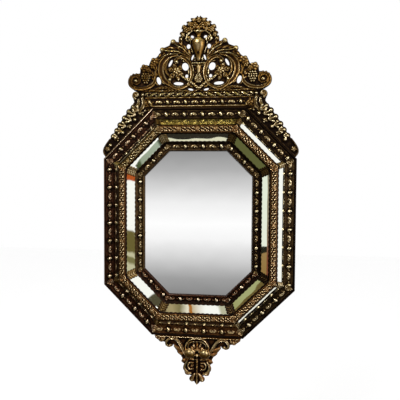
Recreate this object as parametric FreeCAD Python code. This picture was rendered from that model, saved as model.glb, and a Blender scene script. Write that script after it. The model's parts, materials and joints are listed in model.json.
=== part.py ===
import FreeCAD
import Part
import math
import os

# Octagonal cushion mirror: wooden carcass, two rings of slanted mirror panels, embossed brass strips,
# a pierced brass crest, two leafy brackets and a scrolled pendant.
# Millimetres. The origin is the middle of the octagon on the wall plane, +Z is up and the front faces -Y.
# Along a side, u runs clockwise as seen from the front, s runs inward from the outer edge,
# and d is the height in front of the wall.

# Octagon
OCTAGON_WIDTH = 520.0
OCTAGON_HEIGHT = 618.0
CORNER_CUT = 135.0

# Sheet, glass and fits
BRASS_SHEET = 1.2
PANEL_GLASS = 2.5
LIP_LAP = 3.5
PANEL_END_GAP = 0.5
FIT_GAP = 0.3

# Section of a rail
EDGE_HEIGHT = 16.0
OUTER_FOOT = 30.5
RIDGE_START = 52.5
RIDGE_WIDTH = 13.0
RIDGE_HEIGHT = 40.0
INNER_SLOPE_RUN = 26.0
INNER_LEDGE = 18.0
INNER_LEDGE_WIDTH = 22.5
REBATE_WIDTH = 14.0

# Central plate and backboard
CENTER_GLASS = 4.0
BACKBOARD_THICKNESS = 8.0
PLATE_GAP = 0.5
PLATE_BEVEL_WIDTH = 5.0
PLATE_BEVEL_RISE = 0.8

# Brass strips
ROLL_RADIUS = 3.0
SIGHT_ROLL_RADIUS = 2.2
FLANGE_FOOT = 2.0
RIDGE_CROWN_RISE = 3.0
BEAD_PITCH = 47.0
BOSS_HALF_WIDTH = 5.0
BOSS_HALF_LENGTH = 7.0
BOSS_HEIGHT = 4.0
SMALL_BEAD_SHARE = 0.85
COVER_WIDTH = 10.0

# Facets of the relief
DOME_SIDES = 8
DOME_CROWN = 0.55
BAND_STEP = 36.0
BAND_CROWN = 0.2
LEAF_STEPS = 3
LEAF_CROWN = 0.5
SCROLL_HALF_TURNS = 3
SCROLL_CLOSING = 0.58
SCROLL_EYE = 1.6
SCROLL_EYE_RISE = 1.2

# Heights of the relief
ROLL_RELIEF = 6.0
LEAF_RELIEF = 5.0
FLOWER_RELIEF = 8.0
COLUMN_RELIEF = 4.0
BASE_BAR_RELIEF = 5.0

# Crest and its base strip, across from the middle and up from the base line
BACKING_THICKNESS = 10.0
BASE_STRIP_HEIGHT = 43.0
BASE_STRIP_PAST = 21.0
BASE_STRIP_SHEET = 1.5
ROPE_RADIUS = 6.0
CREST_SHEET = 2.0
CREST_TONGUE_CLEAR = 5.0
BASE_BAR_HEIGHT = 8.0
BASE_BAR_PAST = 4.0
RING_ACROSS = 58.0
RING_UP = 57.0
RING_RADIUS = 39.0
RING_ROLL = 11.0
RING_FLOWER = 19.0
RING_SPOKES = (35, 80, 200, 295)
SPOKE_WIDTH = 10.0
SPOKE_BEND = 3.0
SPOKE_TIP = 4.0
# The stem: foot from the middle of the base line, tip from the middle of the ring
STEM_FOOT = (4.0, 3.0)
STEM_TIP = (-6.0, -10.0)
STEM_WIDTH = 10.0
STEM_BEND = -6.0
VOLUTE_ACROSS = 167.0
VOLUTE_UP = 28.0
VOLUTE_RADIUS = 20.0
VOLUTE_ROLL = 9.0
VOLUTE_START = 90
URN_UP = 82.0
URN_PROFILE = [(9, 0), (7, 6), (13, 22), (17, 38), (18, 50), (14, 59), (9, 64), (9, 68), (15, 78)]
URN_HANDLE = (31.0, 138.0)
URN_HANDLE_RADIUS = 8.0
URN_HANDLE_ROLL = 6.0
URN_HANDLE_START = -60
URN_HANDLE_SWEEP = 270
COLUMN_HALF_WIDTH = 10.0
COLLAR_HALF_WIDTH = 14.0
COLLAR_HEIGHT = 8.0
BERRY_UP = 36.0
BERRY_RADIUS = 13.0
FINIAL_UP = 189.0
FINIAL_RADIUS = 10.0
# Each flower: across, up, radius
CREST_FLOWERS = [
    (0, 174, 13),
    (16, 181, 10),
    (29, 172, 10),
    (39, 158, 10),
    (43, 144, 9),
    (20, 166, 11),
    (121, 74, 17),
    (147, 59, 17),
]
# Each leaf: foot, tip, width, bend
CREST_LEAVES = [
    ((12, 70), (24, 128), 14, -4),
    ((16, 84), (74, 139), 26, 6),
    ((22, 82), (104, 116), 28, 12),
    ((26, 96), (48, 146), 14, -6),
    ((70, 98), (112, 82), 22, 8),
    ((92, 24), (124, 88), 18, 8),
    ((100, 6), (146, 68), 20, 10),
    ((107, 9), (181, 16), 12, -1),
]

# Brackets
TRIM_BACK = 6.0
TAB_THICKNESS = 1.5
BRACKET_PLATE_WIDTH = 14.0
BRACKET_LEAVES = 7
BRACKET_TALL = 56.0
BRACKET_LOW = 22.0
BRACKET_END = 14.0
BRACKET_BEND = 4.0
# Parts of the pitch of the leaves
BRACKET_LEAN = 0.25
BRACKET_TIP_BOSS = 0.45
BRACKET_LOW_BOSS = 0.4
BRACKET_LOW_BOSS_ASIDE = 0.33
# Part of the height of the leaves
BRACKET_LOW_BOSS_UP = 0.35
KNOB_PAST = 46.0
KNOB_RADIUS = 10.0

# Pendant, across from the middle and down from the bottom edge
PENDANT_HALF_LENGTH = 114.0
PENDANT_DROP = 135.0
PENDANT_BAR_HEIGHT = 10.0
PENDANT_BODY_WIDTH = 60.0
PENDANT_RIB_WIDTH = 10.0
PENDANT_ROLL = 6.5
PALMETTE_RADIUS = 25.0
# Each boss: across, down, radius
PENDANT_BOSSES = [(0, 49, 5), (21, 47, 13), (14, 111, 11)]
# Each scroll: across, down, radius, angle of its outer end
PENDANT_SCROLLS = [(78, 26, 10, 90), (17, 80, 13, 120)]
# Each leaf: foot, tip, width, bend
PENDANT_LEAVES = [
    ((92, 4), (44, 60), 26, -8),
    ((4, 46), (30, 6), 18, 6),
    ((52, 40), (38, 74), 20, 4),
    ((36, 64), (28, 110), 24, -8),
    ((6, 90), (18, 126), 14, -4),
    ((114, 1), (28, 14), 16, 3),
]

# Hangers
HANGER_INSET = 56.0
HANGER_CLEAR = 9.0
POCKET_DEPTH = 6.0
POCKET_WIDTH = 52.0
POCKET_HEIGHT = 62.0
HANGER_PLATE = 1.2
HANGER_PLATE_LENGTH = 46.0
HANGER_PLATE_WIDTH = 12.0
KNUCKLE_LENGTH = 12.0
KNUCKLE_WALL = 1.0
RING_WIRE_RADIUS = 1.5
RING_INNER_RADIUS = 10.0
RING_LEG = 7.0
RING_GAP = 0.05
RING_LIFT = 0.5
WIRE_SIDES = 8
LOOP_STEPS = 8
SCREW_RADIUS = 1.5
SCREW_LENGTH = 12.0
SCREW_HEAD_RADIUS = 3.2
SCREW_HEAD_HEIGHT = 1.2
SCREW_GAP = 0.1

MITRE = math.tan(math.radians(22.5))
FRONT = FreeCAD.Vector(0, -1, 0)
BEYOND = 60.0

# Places along the section that follow from the sizes above
RIDGE_END = RIDGE_START + RIDGE_WIDTH
INNER_FOOT = RIDGE_END + INNER_SLOPE_RUN
SIGHT = INNER_FOOT + INNER_LEDGE_WIDTH
REBATE = SIGHT - REBATE_WIDTH
REBATE_HEIGHT = BACKBOARD_THICKNESS + CENTER_GLASS
HALF_WIDTH = OCTAGON_WIDTH / 2
HALF_HEIGHT = OCTAGON_HEIGHT / 2
TOP_HALF = HALF_WIDTH - CORNER_CUT
SIDE_HALF = HALF_HEIGHT - CORNER_CUT
DIAGONAL_HALF = CORNER_CUT / math.sqrt(2)
DIAGONAL_X = HALF_WIDTH - CORNER_CUT / 2
DIAGONAL_Z = HALF_HEIGHT - CORNER_CUT / 2
CREST_LINE = HALF_HEIGHT + BASE_STRIP_HEIGHT
BASE_STRIP_HALF = TOP_HALF + BASE_STRIP_PAST

SIDE_NAMES = ["top", "top_right", "right", "bottom_right", "bottom", "bottom_left", "left", "top_left"]


def octagon_sides():
    """Name, direction of the outward normal, middle and half length of each outer edge, clockwise."""
    sides = []
    for k, name in enumerate(SIDE_NAMES):
        turn = 90 - 360 * k / len(SIDE_NAMES)
        c, s = math.cos(math.radians(turn)), math.sin(math.radians(turn))
        if k % 2:
            place = (math.copysign(DIAGONAL_X, c), math.copysign(DIAGONAL_Z, s), DIAGONAL_HALF)
        else:
            place = (HALF_WIDTH * round(c), HALF_HEIGHT * round(s), TOP_HALF if round(s) else SIDE_HALF)
        sides.append((name, turn) + place)
    return sides


SIDES = octagon_sides()


def at(side, u, s, d):
    """Point of a side's own coordinates in the frame of the part."""
    normal = math.radians(side[1])
    nx, nz = math.cos(normal), math.sin(normal)
    return FreeCAD.Vector(side[2] + nz * u - nx * s, -d, side[3] - nx * u - nz * s)


def mitre_end(side, s):
    """Half length of a side at a distance s from its outer edge."""
    return side[4] - s * MITRE


def faceted(stations, closed=False):
    """Solid with flat faces through rings of points that match one to one, with end faces unless closed."""
    count = len(stations[0])
    pairs = list(zip(stations, stations[1:]))
    if closed:
        pairs.append((stations[-1], stations[0]))
        rings = []
    else:
        rings = [stations[0], stations[-1]]
    for ring, other in pairs:
        for k in range(count):
            n = (k + 1) % count
            rings.append([ring[k], ring[n], other[n], other[k]])
    faces = [Part.Face(Part.makePolygon(ring + ring[:1])) for ring in rings]
    solid = Part.makeSolid(Part.makeShell(faces))
    if solid.Volume < 0:
        solid.reverse()
    return solid


def bar(side, section, start=None, end=None):
    """Bar with a polygon section of (s, d) points, between two ends that are mitres unless given."""
    start = start or (lambda s: -mitre_end(side, s))
    end = end or (lambda s: mitre_end(side, s))
    ring = [at(side, start(s), s, d) for s, d in section]
    other = [at(side, end(s), s, d) for s, d in section]
    return faceted([ring, other])


def rolled_bar(side, path):
    """Mitred bar whose section is a closed path of (s, d) points, with (through, to) pairs as arcs."""
    edges = []
    here = path[0]
    for step in path[1:]:
        if isinstance(step[0], tuple):
            through, here_next = step
            ends = [at(side, 0, *point) for point in (here, through, here_next)]
            edges.append(Part.Arc(*ends).toShape())
        else:
            here_next = step
            edges.append(Part.makeLine(at(side, 0, *here), at(side, 0, *here_next)))
        here = here_next
    along = at(side, 1, 0, 0) - at(side, 0, 0, 0)
    reach = side[4] + BEYOND
    face = Part.Face(Part.Wire(edges))
    face.translate(along * -reach)
    high = RIDGE_HEIGHT + BEYOND
    low, far = -FIT_GAP, SIGHT + FIT_GAP
    wedge = bar(side, [(low, low), (low, high), (far, high), (far, low)])
    return face.extrude(along * (2 * reach)).common(wedge)


def unit(a, b):
    """Unit direction from a to b in the section."""
    length = math.hypot(b[0] - a[0], b[1] - a[1])
    return ((b[0] - a[0]) / length, (b[1] - a[1]) / length)


def along_line(point, direction, distance):
    return (point[0] + direction[0] * distance, point[1] + direction[1] * distance)


def where_height(point, direction, d):
    """Point of a slanted line at height d."""
    return along_line(point, direction, (d - point[1]) / direction[1])


# The two slopes: foot, top, direction up the slope and outward normal
OUTER_LOW, OUTER_TOP = (OUTER_FOOT, EDGE_HEIGHT), (RIDGE_START, RIDGE_HEIGHT)
INNER_LOW, INNER_TOP = (INNER_FOOT, INNER_LEDGE), (RIDGE_END, RIDGE_HEIGHT)
OUTER_UP = unit(OUTER_LOW, OUTER_TOP)
INNER_UP = unit(INNER_LOW, INNER_TOP)
OUTER_NORMAL = (-OUTER_UP[1], OUTER_UP[0])
INNER_NORMAL = (INNER_UP[1], -INNER_UP[0])

# Front corners of the panels, which the lips of the strips lap
OUTER_PANEL_LOW = along_line(along_line(OUTER_LOW, OUTER_UP, PANEL_END_GAP), OUTER_NORMAL, PANEL_GLASS)
OUTER_PANEL_TOP = along_line(along_line(OUTER_TOP, OUTER_UP, -PANEL_END_GAP), OUTER_NORMAL, PANEL_GLASS)
INNER_PANEL_LOW = along_line(along_line(INNER_LOW, INNER_UP, PANEL_END_GAP), INNER_NORMAL, PANEL_GLASS)
INNER_PANEL_TOP = along_line(along_line(INNER_TOP, INNER_UP, -PANEL_END_GAP), INNER_NORMAL, PANEL_GLASS)


def rail(side):
    """Wooden rail with both slopes and the rebate for the plate."""
    section = [
        (BRASS_SHEET, 0),
        (BRASS_SHEET, EDGE_HEIGHT),
        OUTER_LOW,
        OUTER_TOP,
        INNER_TOP,
        INNER_LOW,
        (SIGHT - BRASS_SHEET, INNER_LEDGE),
        (SIGHT - BRASS_SHEET, REBATE_HEIGHT),
        (REBATE, REBATE_HEIGHT),
        (REBATE, 0),
    ]
    return bar(side, section)


def panel(side, low, top, up, normal):
    """Flat mirror panel on a slope, mitred at both ends."""
    back_low = along_line(low, up, PANEL_END_GAP)
    back_top = along_line(top, up, -PANEL_END_GAP)
    section = [
        back_low,
        back_top,
        along_line(back_top, normal, PANEL_GLASS),
        along_line(back_low, normal, PANEL_GLASS),
    ]
    return bar(side, section)


def boss(side, u, s, d, half_width, half_length, height):
    """Oval boss with sloping sides, longer across the strip."""
    rings = []
    for share, rise in ((1.0, -BRASS_SHEET / 2), (DOME_CROWN, height)):
        turns = [2 * math.pi * k / DOME_SIDES for k in range(DOME_SIDES)]
        wide, long = half_width * share, half_length * share
        place = [(u + wide * math.sin(turn), s + long * math.cos(turn)) for turn in turns]
        rings.append([at(side, *spot, d + rise) for spot in place])
    return faceted(rings)


def beaded(strip, side, s, d, share, half_length):
    """Strip with a row of bosses along its middle line."""
    count = max(2, round(2 * half_length / BEAD_PITCH))
    pitch = 2 * half_length / count
    sizes = [share * size for size in (BOSS_HALF_WIDTH, BOSS_HALF_LENGTH, BOSS_HEIGHT)]
    tools = [boss(side, (k + 0.5) * pitch - half_length, s, d, *sizes) for k in range(count)]
    return strip.multiFuse(tools).removeSplitter()


def outer_bead_strip(side):
    """Outer strip: side flange, rolled edge, beaded field and a lip over the panels' lower edges."""
    top = EDGE_HEIGHT + BRASS_SHEET
    foot = BACKING_THICKNESS + FIT_GAP if side[0] == "top" else FLANGE_FOOT
    lip_back = along_line(OUTER_PANEL_LOW, OUTER_UP, LIP_LAP)
    lip_front = along_line(lip_back, OUTER_NORMAL, BRASS_SHEET)
    path = [
        (0, foot),
        (0, top),
        ((ROLL_RADIUS, top + ROLL_RADIUS), (2 * ROLL_RADIUS, top)),
        where_height(lip_front, OUTER_UP, top),
        lip_front,
        lip_back,
        where_height(lip_back, OUTER_UP, EDGE_HEIGHT),
        (BRASS_SHEET, EDGE_HEIGHT),
        (BRASS_SHEET, foot),
        (0, foot),
    ]
    field = (2 * ROLL_RADIUS + where_height(lip_front, OUTER_UP, top)[0]) / 2
    return beaded(rolled_bar(side, path), side, field, top, 1.0, mitre_end(side, field))


def ridge_strip(side):
    """Ridge strip: a crowned sheet with two lips that lap the upper edges of both rings of panels."""
    outer_end = along_line(OUTER_PANEL_TOP, OUTER_UP, -LIP_LAP)
    inner_end = along_line(INNER_PANEL_TOP, INNER_UP, -LIP_LAP)
    under = max(OUTER_PANEL_TOP[1], INNER_PANEL_TOP[1]) + FIT_GAP
    outer_bend = where_height(outer_end, OUTER_UP, under)
    inner_bend = where_height(inner_end, INNER_UP, under)
    middle = (outer_bend[0] + inner_bend[0]) / 2
    outer_out = along_line(outer_end, OUTER_NORMAL, BRASS_SHEET)
    inner_out = along_line(inner_end, INNER_NORMAL, BRASS_SHEET)
    outer_shoulder = where_height(outer_out, OUTER_UP, under + BRASS_SHEET)
    inner_shoulder = where_height(inner_out, INNER_UP, under + BRASS_SHEET)
    path = [
        outer_end,
        outer_out,
        outer_shoulder,
        ((middle, under + BRASS_SHEET + RIDGE_CROWN_RISE), inner_shoulder),
        inner_out,
        inner_end,
        inner_bend,
        ((middle, under + RIDGE_CROWN_RISE), outer_bend),
        outer_end,
    ]
    return rolled_bar(side, path)


def inner_bead_strip(side):
    """Inner strip: a lip over the panels' lower edges, a beaded field and a rolled sight edge."""
    top = INNER_LEDGE + BRASS_SHEET
    lip_back = along_line(INNER_PANEL_LOW, INNER_UP, LIP_LAP)
    lip_front = along_line(lip_back, INNER_NORMAL, BRASS_SHEET)
    field_start = where_height(lip_front, INNER_UP, top)
    roll_start = SIGHT - 2 * SIGHT_ROLL_RADIUS
    foot = REBATE_HEIGHT + FIT_GAP
    path = [
        lip_back,
        lip_front,
        field_start,
        (roll_start, top),
        ((SIGHT - SIGHT_ROLL_RADIUS, top + SIGHT_ROLL_RADIUS), (SIGHT, top)),
        (SIGHT, foot),
        (SIGHT - BRASS_SHEET, foot),
        (SIGHT - BRASS_SHEET, INNER_LEDGE),
        where_height(lip_back, INNER_UP, INNER_LEDGE),
        lip_back,
    ]
    field = (field_start[0] + roll_start) / 2
    return beaded(rolled_bar(side, path), side, field, top, SMALL_BEAD_SHARE, mitre_end(side, field))


def mitre_cover(side, following, low, top, normal):
    """Folded cover on the joint between the panels of two sides, from lip to lip."""
    rise = BRASS_SHEET / normal[1]
    section = [low, top, (top[0], top[1] + rise), (low[0], low[1] + rise)]

    def end(s):
        return mitre_end(side, s)

    def start(s):
        return mitre_end(side, s) - COVER_WIDTH

    def far_end(s):
        return COVER_WIDTH - mitre_end(following, s)

    return bar(side, section, start, end).fuse(bar(following, section, None, far_end)).removeSplitter()


def mitre_covers():
    """The covers of all the panel joints, each a solid of its own."""
    clear = LIP_LAP + FIT_GAP
    outer_low = along_line(OUTER_PANEL_LOW, OUTER_UP, clear + BRASS_SHEET)
    outer_top = along_line(OUTER_PANEL_TOP, OUTER_UP, -clear - BRASS_SHEET)
    inner_low = along_line(INNER_PANEL_LOW, INNER_UP, clear + BRASS_SHEET)
    inner_top = along_line(INNER_PANEL_TOP, INNER_UP, -clear - BRASS_SHEET)
    covers = []
    for k, side in enumerate(SIDES):
        following = SIDES[(k + 1) % len(SIDES)]
        covers.append(mitre_cover(side, following, outer_low, outer_top, OUTER_NORMAL))
        covers.append(mitre_cover(side, following, inner_low, inner_top, INNER_NORMAL))
    return Part.makeCompound([solid for cover in covers for solid in cover.Solids])


def octagon(s, d, height):
    """Octagonal plate whose edge lies s inside the outer edge, from d to d + height."""
    ring = [at(side, mitre_end(side, s), s, d) for side in SIDES]
    return Part.Face(Part.makePolygon(ring + ring[:1])).extrude(FRONT * height)


def center_mirror():
    """Central plate in the rebate, whose middle rises in front of the rebate behind a slim bevel."""
    plate = octagon(REBATE + PLATE_GAP, BACKBOARD_THICKNESS, CENTER_GLASS)
    edge = SIGHT + FIT_GAP
    stations = []
    for s, d in ((edge, REBATE_HEIGHT), (edge + PLATE_BEVEL_WIDTH, REBATE_HEIGHT + PLATE_BEVEL_RISE)):
        stations.append([at(side, mitre_end(side, s), s, d) for side in SIDES])
    return plate.fuse(faceted(stations)).removeSplitter()


def pillow(x, z, radius, d, height):
    """Round boss of a relief with sloping sides and a flat crown."""
    stations = []
    for size, rise in ((radius, 0), (DOME_CROWN * radius, height)):
        turns = [2 * math.pi * k / DOME_SIDES for k in range(DOME_SIDES)]
        place = [(x + size * math.cos(turn), z + size * math.sin(turn)) for turn in turns]
        stations.append([FreeCAD.Vector(px, -d - rise, pz) for px, pz in place])
    return faceted(stations)


def band(x, z, radius, width, start, sweep, d, height):
    """Arc shaped roll of a relief: angles in degrees, anticlockwise from the viewer's right."""
    edge, crown = width / 2, width * BAND_CROWN
    profile = [(radius - edge, 0), (radius + edge, 0), (radius + crown, height), (radius - crown, height)]
    closed = abs(sweep) == 360
    steps = math.ceil(abs(sweep) / BAND_STEP)
    stations = []
    for k in range(steps if closed else steps + 1):
        turn = math.radians(start + sweep * k / steps)
        c, s = math.cos(turn), math.sin(turn)
        stations.append([FreeCAD.Vector(x + r * c, -d - h, z + r * s) for r, h in profile])
    return faceted(stations, closed)


def scroll(x, z, radius, width, start, handed, d, height):
    """Volute of half turns that close in on an eye, from an outer end at the angle start."""
    pieces = []
    angle, size, cx, cz = start, radius, x, z
    for turn in range(SCROLL_HALF_TURNS):
        pieces.append(band(cx, cz, size, width * size / radius, angle, handed * 180, d, height))
        angle += handed * 180
        smaller = SCROLL_CLOSING * size
        cx += (size - smaller) * math.cos(math.radians(angle))
        cz += (size - smaller) * math.sin(math.radians(angle))
        size = smaller
    pieces.append(pillow(cx, cz, SCROLL_EYE * size, d, SCROLL_EYE_RISE * height))
    return pieces


def leaf(foot, tip, width, bend, d, height):
    """Pointed leaf of a relief between two (across, up) points, bowed to its left by the bend."""
    ax, az = foot
    bx, bz = tip
    length = math.hypot(bx - ax, bz - az)
    px, pz = -(bz - az) / length, (bx - ax) / length
    shares = [k / LEAF_STEPS for k in range(LEAF_STEPS)]
    outline = [(v, bend + width / 2) for v in shares] + [(1 - v, bend - width / 2) for v in shares]
    low = []
    for v, bow in outline:
        aside = 4 * v * (1 - v) * bow
        low.append(FreeCAD.Vector(ax + (bx - ax) * v + px * aside, -d, az + (bz - az) * v + pz * aside))
    middle = FreeCAD.Vector((ax + bx) / 2 + px * bend, -d, (az + bz) / 2 + pz * bend)
    high = [middle + (point - middle) * LEAF_CROWN + FRONT * height for point in low]
    return faceted([low, high])


def slab(x, z, width, height, d, depth):
    """Upright rectangular plate from a lower left corner."""
    return Part.makeBox(width, depth, height, FreeCAD.Vector(x, -d - depth, z))


def mirrored(shape):
    """The shape on the other side of the upright middle plane."""
    return shape.mirror(FreeCAD.Vector(0, 0, 0), FreeCAD.Vector(1, 0, 0))


def joined(pieces):
    """One solid from pieces that overlap."""
    return pieces[0].multiFuse(pieces[1:]).removeSplitter()


def urn(d, foot):
    """Half urn in relief, turned from its profile of (radius, height) points."""
    outline = [(0, 0)] + URN_PROFILE + [(0, URN_PROFILE[-1][1])]
    points = [FreeCAD.Vector(r, -d, foot + h) for r, h in outline]
    face = Part.Face(Part.makePolygon(points + points[:1]))
    return face.revolve(points[0], FreeCAD.Vector(0, 0, 1), -180)


def crest_panel():
    """Pierced crest: urn with a bouquet, acanthus leaves, C scrolls and end volutes on a base bar."""
    d = BACKING_THICKNESS
    base = CREST_LINE
    ring_z = base + RING_UP
    half = [band(RING_ACROSS, ring_z, RING_RADIUS, RING_ROLL, 0, 360, d, ROLL_RELIEF)]
    half.append(pillow(RING_ACROSS, ring_z, RING_FLOWER, d, FLOWER_RELIEF))
    for turn in RING_SPOKES:
        c, s = math.cos(math.radians(turn)), math.sin(math.radians(turn))
        foot = (RING_ACROSS + RING_RADIUS * c, ring_z + RING_RADIUS * s)
        tip = (RING_ACROSS + SPOKE_TIP * c, ring_z + SPOKE_TIP * s)
        half.append(leaf(foot, tip, SPOKE_WIDTH, SPOKE_BEND, d, LEAF_RELIEF))
    stem_foot = (STEM_FOOT[0], base + STEM_FOOT[1])
    stem_tip = (RING_ACROSS + STEM_TIP[0], ring_z + STEM_TIP[1])
    half.append(leaf(stem_foot, stem_tip, STEM_WIDTH, STEM_BEND, d, LEAF_RELIEF))
    volute = (VOLUTE_ACROSS, base + VOLUTE_UP, VOLUTE_RADIUS)
    half += scroll(*volute, VOLUTE_ROLL, VOLUTE_START, -1, d, ROLL_RELIEF)
    half.append(pillow(*volute, d, CREST_SHEET))
    for across, up, radius in CREST_FLOWERS:
        half.append(pillow(across, base + up, radius, d, FLOWER_RELIEF))
    for foot, tip, width, bend in CREST_LEAVES:
        foot_z, tip_z = base + foot[1], base + tip[1]
        half.append(leaf((foot[0], foot_z), (tip[0], tip_z), width, bend, d, LEAF_RELIEF))
    handle = (URN_HANDLE[0], base + URN_HANDLE[1], URN_HANDLE_RADIUS, URN_HANDLE_ROLL)
    half.append(band(*handle, URN_HANDLE_START, URN_HANDLE_SWEEP, d, LEAF_RELIEF))
    column = base + URN_UP
    long = VOLUTE_ACROSS + BASE_BAR_PAST
    tongue_low = HALF_HEIGHT + CREST_TONGUE_CLEAR
    tongue = base + BASE_BAR_HEIGHT - tongue_low
    collar_low = column - COLLAR_HEIGHT
    middle = [
        pillow(0, base + FINIAL_UP, FINIAL_RADIUS, d, FLOWER_RELIEF),
        pillow(0, base + BERRY_UP, BERRY_RADIUS, d, FLOWER_RELIEF),
        slab(-COLUMN_HALF_WIDTH, base, 2 * COLUMN_HALF_WIDTH, URN_UP, d, COLUMN_RELIEF),
        slab(-COLLAR_HALF_WIDTH, collar_low, 2 * COLLAR_HALF_WIDTH, COLLAR_HEIGHT, d, ROLL_RELIEF),
        slab(-long, base, 2 * long, BASE_BAR_HEIGHT, d, BASE_BAR_RELIEF),
        slab(-TOP_HALF, tongue_low, 2 * TOP_HALF, tongue, d, CREST_SHEET),
        urn(d, column),
    ]
    return joined(middle + half + [mirrored(piece) for piece in half])


def crest_base_strip():
    """Strip under the crest: a rope roll above a band of bosses, on the crest's tongue."""
    back = BACKING_THICKNESS + CREST_SHEET
    face = back + BASE_STRIP_SHEET
    low = HALF_HEIGHT + FIT_GAP
    high = CREST_LINE - FIT_GAP
    rope_low = high - 2 * ROPE_RADIUS
    points = [(back, low), (face, low), (face, rope_low), (face, high), (back, high)]
    corner = [FreeCAD.Vector(-BASE_STRIP_HALF, -d, z) for d, z in points]
    crown = FreeCAD.Vector(-BASE_STRIP_HALF, -face - ROPE_RADIUS, high - ROPE_RADIUS)
    edges = [
        Part.makeLine(corner[0], corner[1]),
        Part.makeLine(corner[1], corner[2]),
        Part.Arc(corner[2], crown, corner[3]).toShape(),
        Part.makeLine(corner[3], corner[4]),
        Part.makeLine(corner[4], corner[0]),
    ]
    strip = Part.Face(Part.Wire(edges)).extrude(FreeCAD.Vector(2 * BASE_STRIP_HALF, 0, 0))
    return beaded(strip, SIDES[0], HALF_HEIGHT - (low + rope_low) / 2, face, 1.0, BASE_STRIP_HALF)


def bracket_right():
    """Leafy bracket outside the upper right diagonal, hung on a tab against the rail's side."""
    d = TRIM_BACK
    side = SIDES[1]
    length = 2 * DIAGONAL_HALF
    front = d + CREST_SHEET

    def place(t, n):
        point = at(side, t - DIAGONAL_HALF, -n, 0)
        return point.x, point.z

    def start(s):
        return -DIAGONAL_HALF

    def end(s):
        return DIAGONAL_HALF + s

    tab = [(-TAB_THICKNESS, FLANGE_FOOT), (-TAB_THICKNESS, front), (0, front), (0, FLANGE_FOOT)]
    plate = [(-BRACKET_PLATE_WIDTH, d), (-BRACKET_PLATE_WIDTH, front), (0, front), (0, d)]
    pieces = [bar(side, tab, start, end), bar(side, plate, start, end)]
    pitch = (length - BRACKET_END) / BRACKET_LEAVES
    for k in range(BRACKET_LEAVES):
        t = (k + 0.5) * pitch
        tall = BRACKET_TALL + (BRACKET_LOW - BRACKET_TALL) * t / length
        foot, tip = place(t - pitch / 2, 0), place(t + BRACKET_LEAN * pitch, tall)
        pieces.append(leaf(foot, tip, pitch, BRACKET_BEND, d, LEAF_RELIEF))
        tip_boss = BRACKET_TIP_BOSS * pitch
        pieces.append(pillow(*place(t, tall - tip_boss), tip_boss, d, FLOWER_RELIEF))
        low_boss = place(t + BRACKET_LOW_BOSS_ASIDE * pitch, BRACKET_LOW_BOSS_UP * tall)
        pieces.append(pillow(*low_boss, BRACKET_LOW_BOSS * pitch, d, LEAF_RELIEF))
    knob_x, knob_z = TOP_HALF + KNOB_PAST, CREST_LINE - KNOB_RADIUS - FIT_GAP
    pieces.append(pillow(knob_x, knob_z, KNOB_RADIUS, d, FLOWER_RELIEF))
    corner = (TOP_HALF, HALF_HEIGHT)
    neck = knob_z + KNOB_RADIUS / 2 - HALF_HEIGHT
    pieces.append(slab(*corner, KNOB_PAST, neck, d, CREST_SHEET))
    pieces.append(leaf(corner, (knob_x, knob_z), 2 * KNOB_RADIUS, BRACKET_BEND, d, LEAF_RELIEF))
    deep = 3 * BEYOND
    beside = slab(0, HALF_HEIGHT - BEYOND, TOP_HALF + FIT_GAP, deep, -BEYOND, deep)
    under_strip = slab(0, HALF_HEIGHT, BASE_STRIP_HALF + FIT_GAP, BEYOND, -BEYOND, deep)
    above = slab(0, CREST_LINE - FIT_GAP, HALF_WIDTH, BEYOND, -BEYOND, deep)
    shape = joined(pieces).cut(octagon(0, -BEYOND, deep))
    for room in (beside, under_strip, above):
        shape = shape.cut(room)
    return shape.removeSplitter()


def pendant():
    """Scrolled pendant under the bottom rail, hung on a tab against the rail's side."""
    d = TRIM_BACK
    top = -HALF_HEIGHT
    long = PENDANT_HALF_LENGTH
    front = d + CREST_SHEET
    half = []
    for across, down, radius in PENDANT_BOSSES:
        half.append(pillow(across, top - down, radius, d, FLOWER_RELIEF))
    for across, down, radius, start in PENDANT_SCROLLS:
        half += scroll(across, top - down, radius, PENDANT_ROLL, start, -1, d, ROLL_RELIEF)
    for foot, tip, width, bend in PENDANT_LEAVES:
        half.append(leaf((foot[0], top - foot[1]), (tip[0], top - tip[1]), width, bend, d, LEAF_RELIEF))
    middle = [
        slab(-long, top - PENDANT_BAR_HEIGHT, 2 * long, PENDANT_BAR_HEIGHT, d, CREST_SHEET),
        slab(-long, top - TAB_THICKNESS, 2 * long, TAB_THICKNESS, FLANGE_FOOT, front - FLANGE_FOOT),
        pillow(0, top - PALMETTE_RADIUS, PALMETTE_RADIUS, d, LEAF_RELIEF),
        leaf((0, top), (0, top - PENDANT_DROP), PENDANT_BODY_WIDTH, 0, d, CREST_SHEET),
        leaf((0, top - PALMETTE_RADIUS), (0, top - PENDANT_DROP), PENDANT_RIB_WIDTH, 0, d, FLOWER_RELIEF),
    ]
    return joined(middle + half + [mirrored(piece) for piece in half]).cut(octagon(0, -BEYOND, 3 * BEYOND))


# The hangers: middle of the plate, set below the joint of the rails, and axis of the ring's bar
HANGER_X = HALF_WIDTH - HANGER_INSET
HANGER_RISE = SIDE_HALF - (HANGER_INSET + POCKET_WIDTH / 2) * MITRE - POCKET_HEIGHT / 2 - HANGER_CLEAR
BAR_DEPTH = POCKET_DEPTH - HANGER_PLATE - RING_WIRE_RADIUS - RING_LIFT
SCREW_X = (HANGER_PLATE_LENGTH / 2 + KNUCKLE_LENGTH / 2 + RING_INNER_RADIUS) / 2


def rod(x, z, d, radius, length, direction):
    """Round rod from a point along a direction."""
    return Part.makeCylinder(radius, length, FreeCAD.Vector(x, -d, z), direction)


def screw_places(sign):
    return [sign * HANGER_X - SCREW_X, sign * HANGER_X + SCREW_X]


def screw_hole(x, deep):
    """Straight hole round a screw, from the wall plane."""
    radius = (SCREW_RADIUS + SCREW_GAP) / math.cos(math.pi / WIRE_SIDES)
    return faceted([screw_ring(x, radius, 0), screw_ring(x, radius, deep)])


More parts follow.
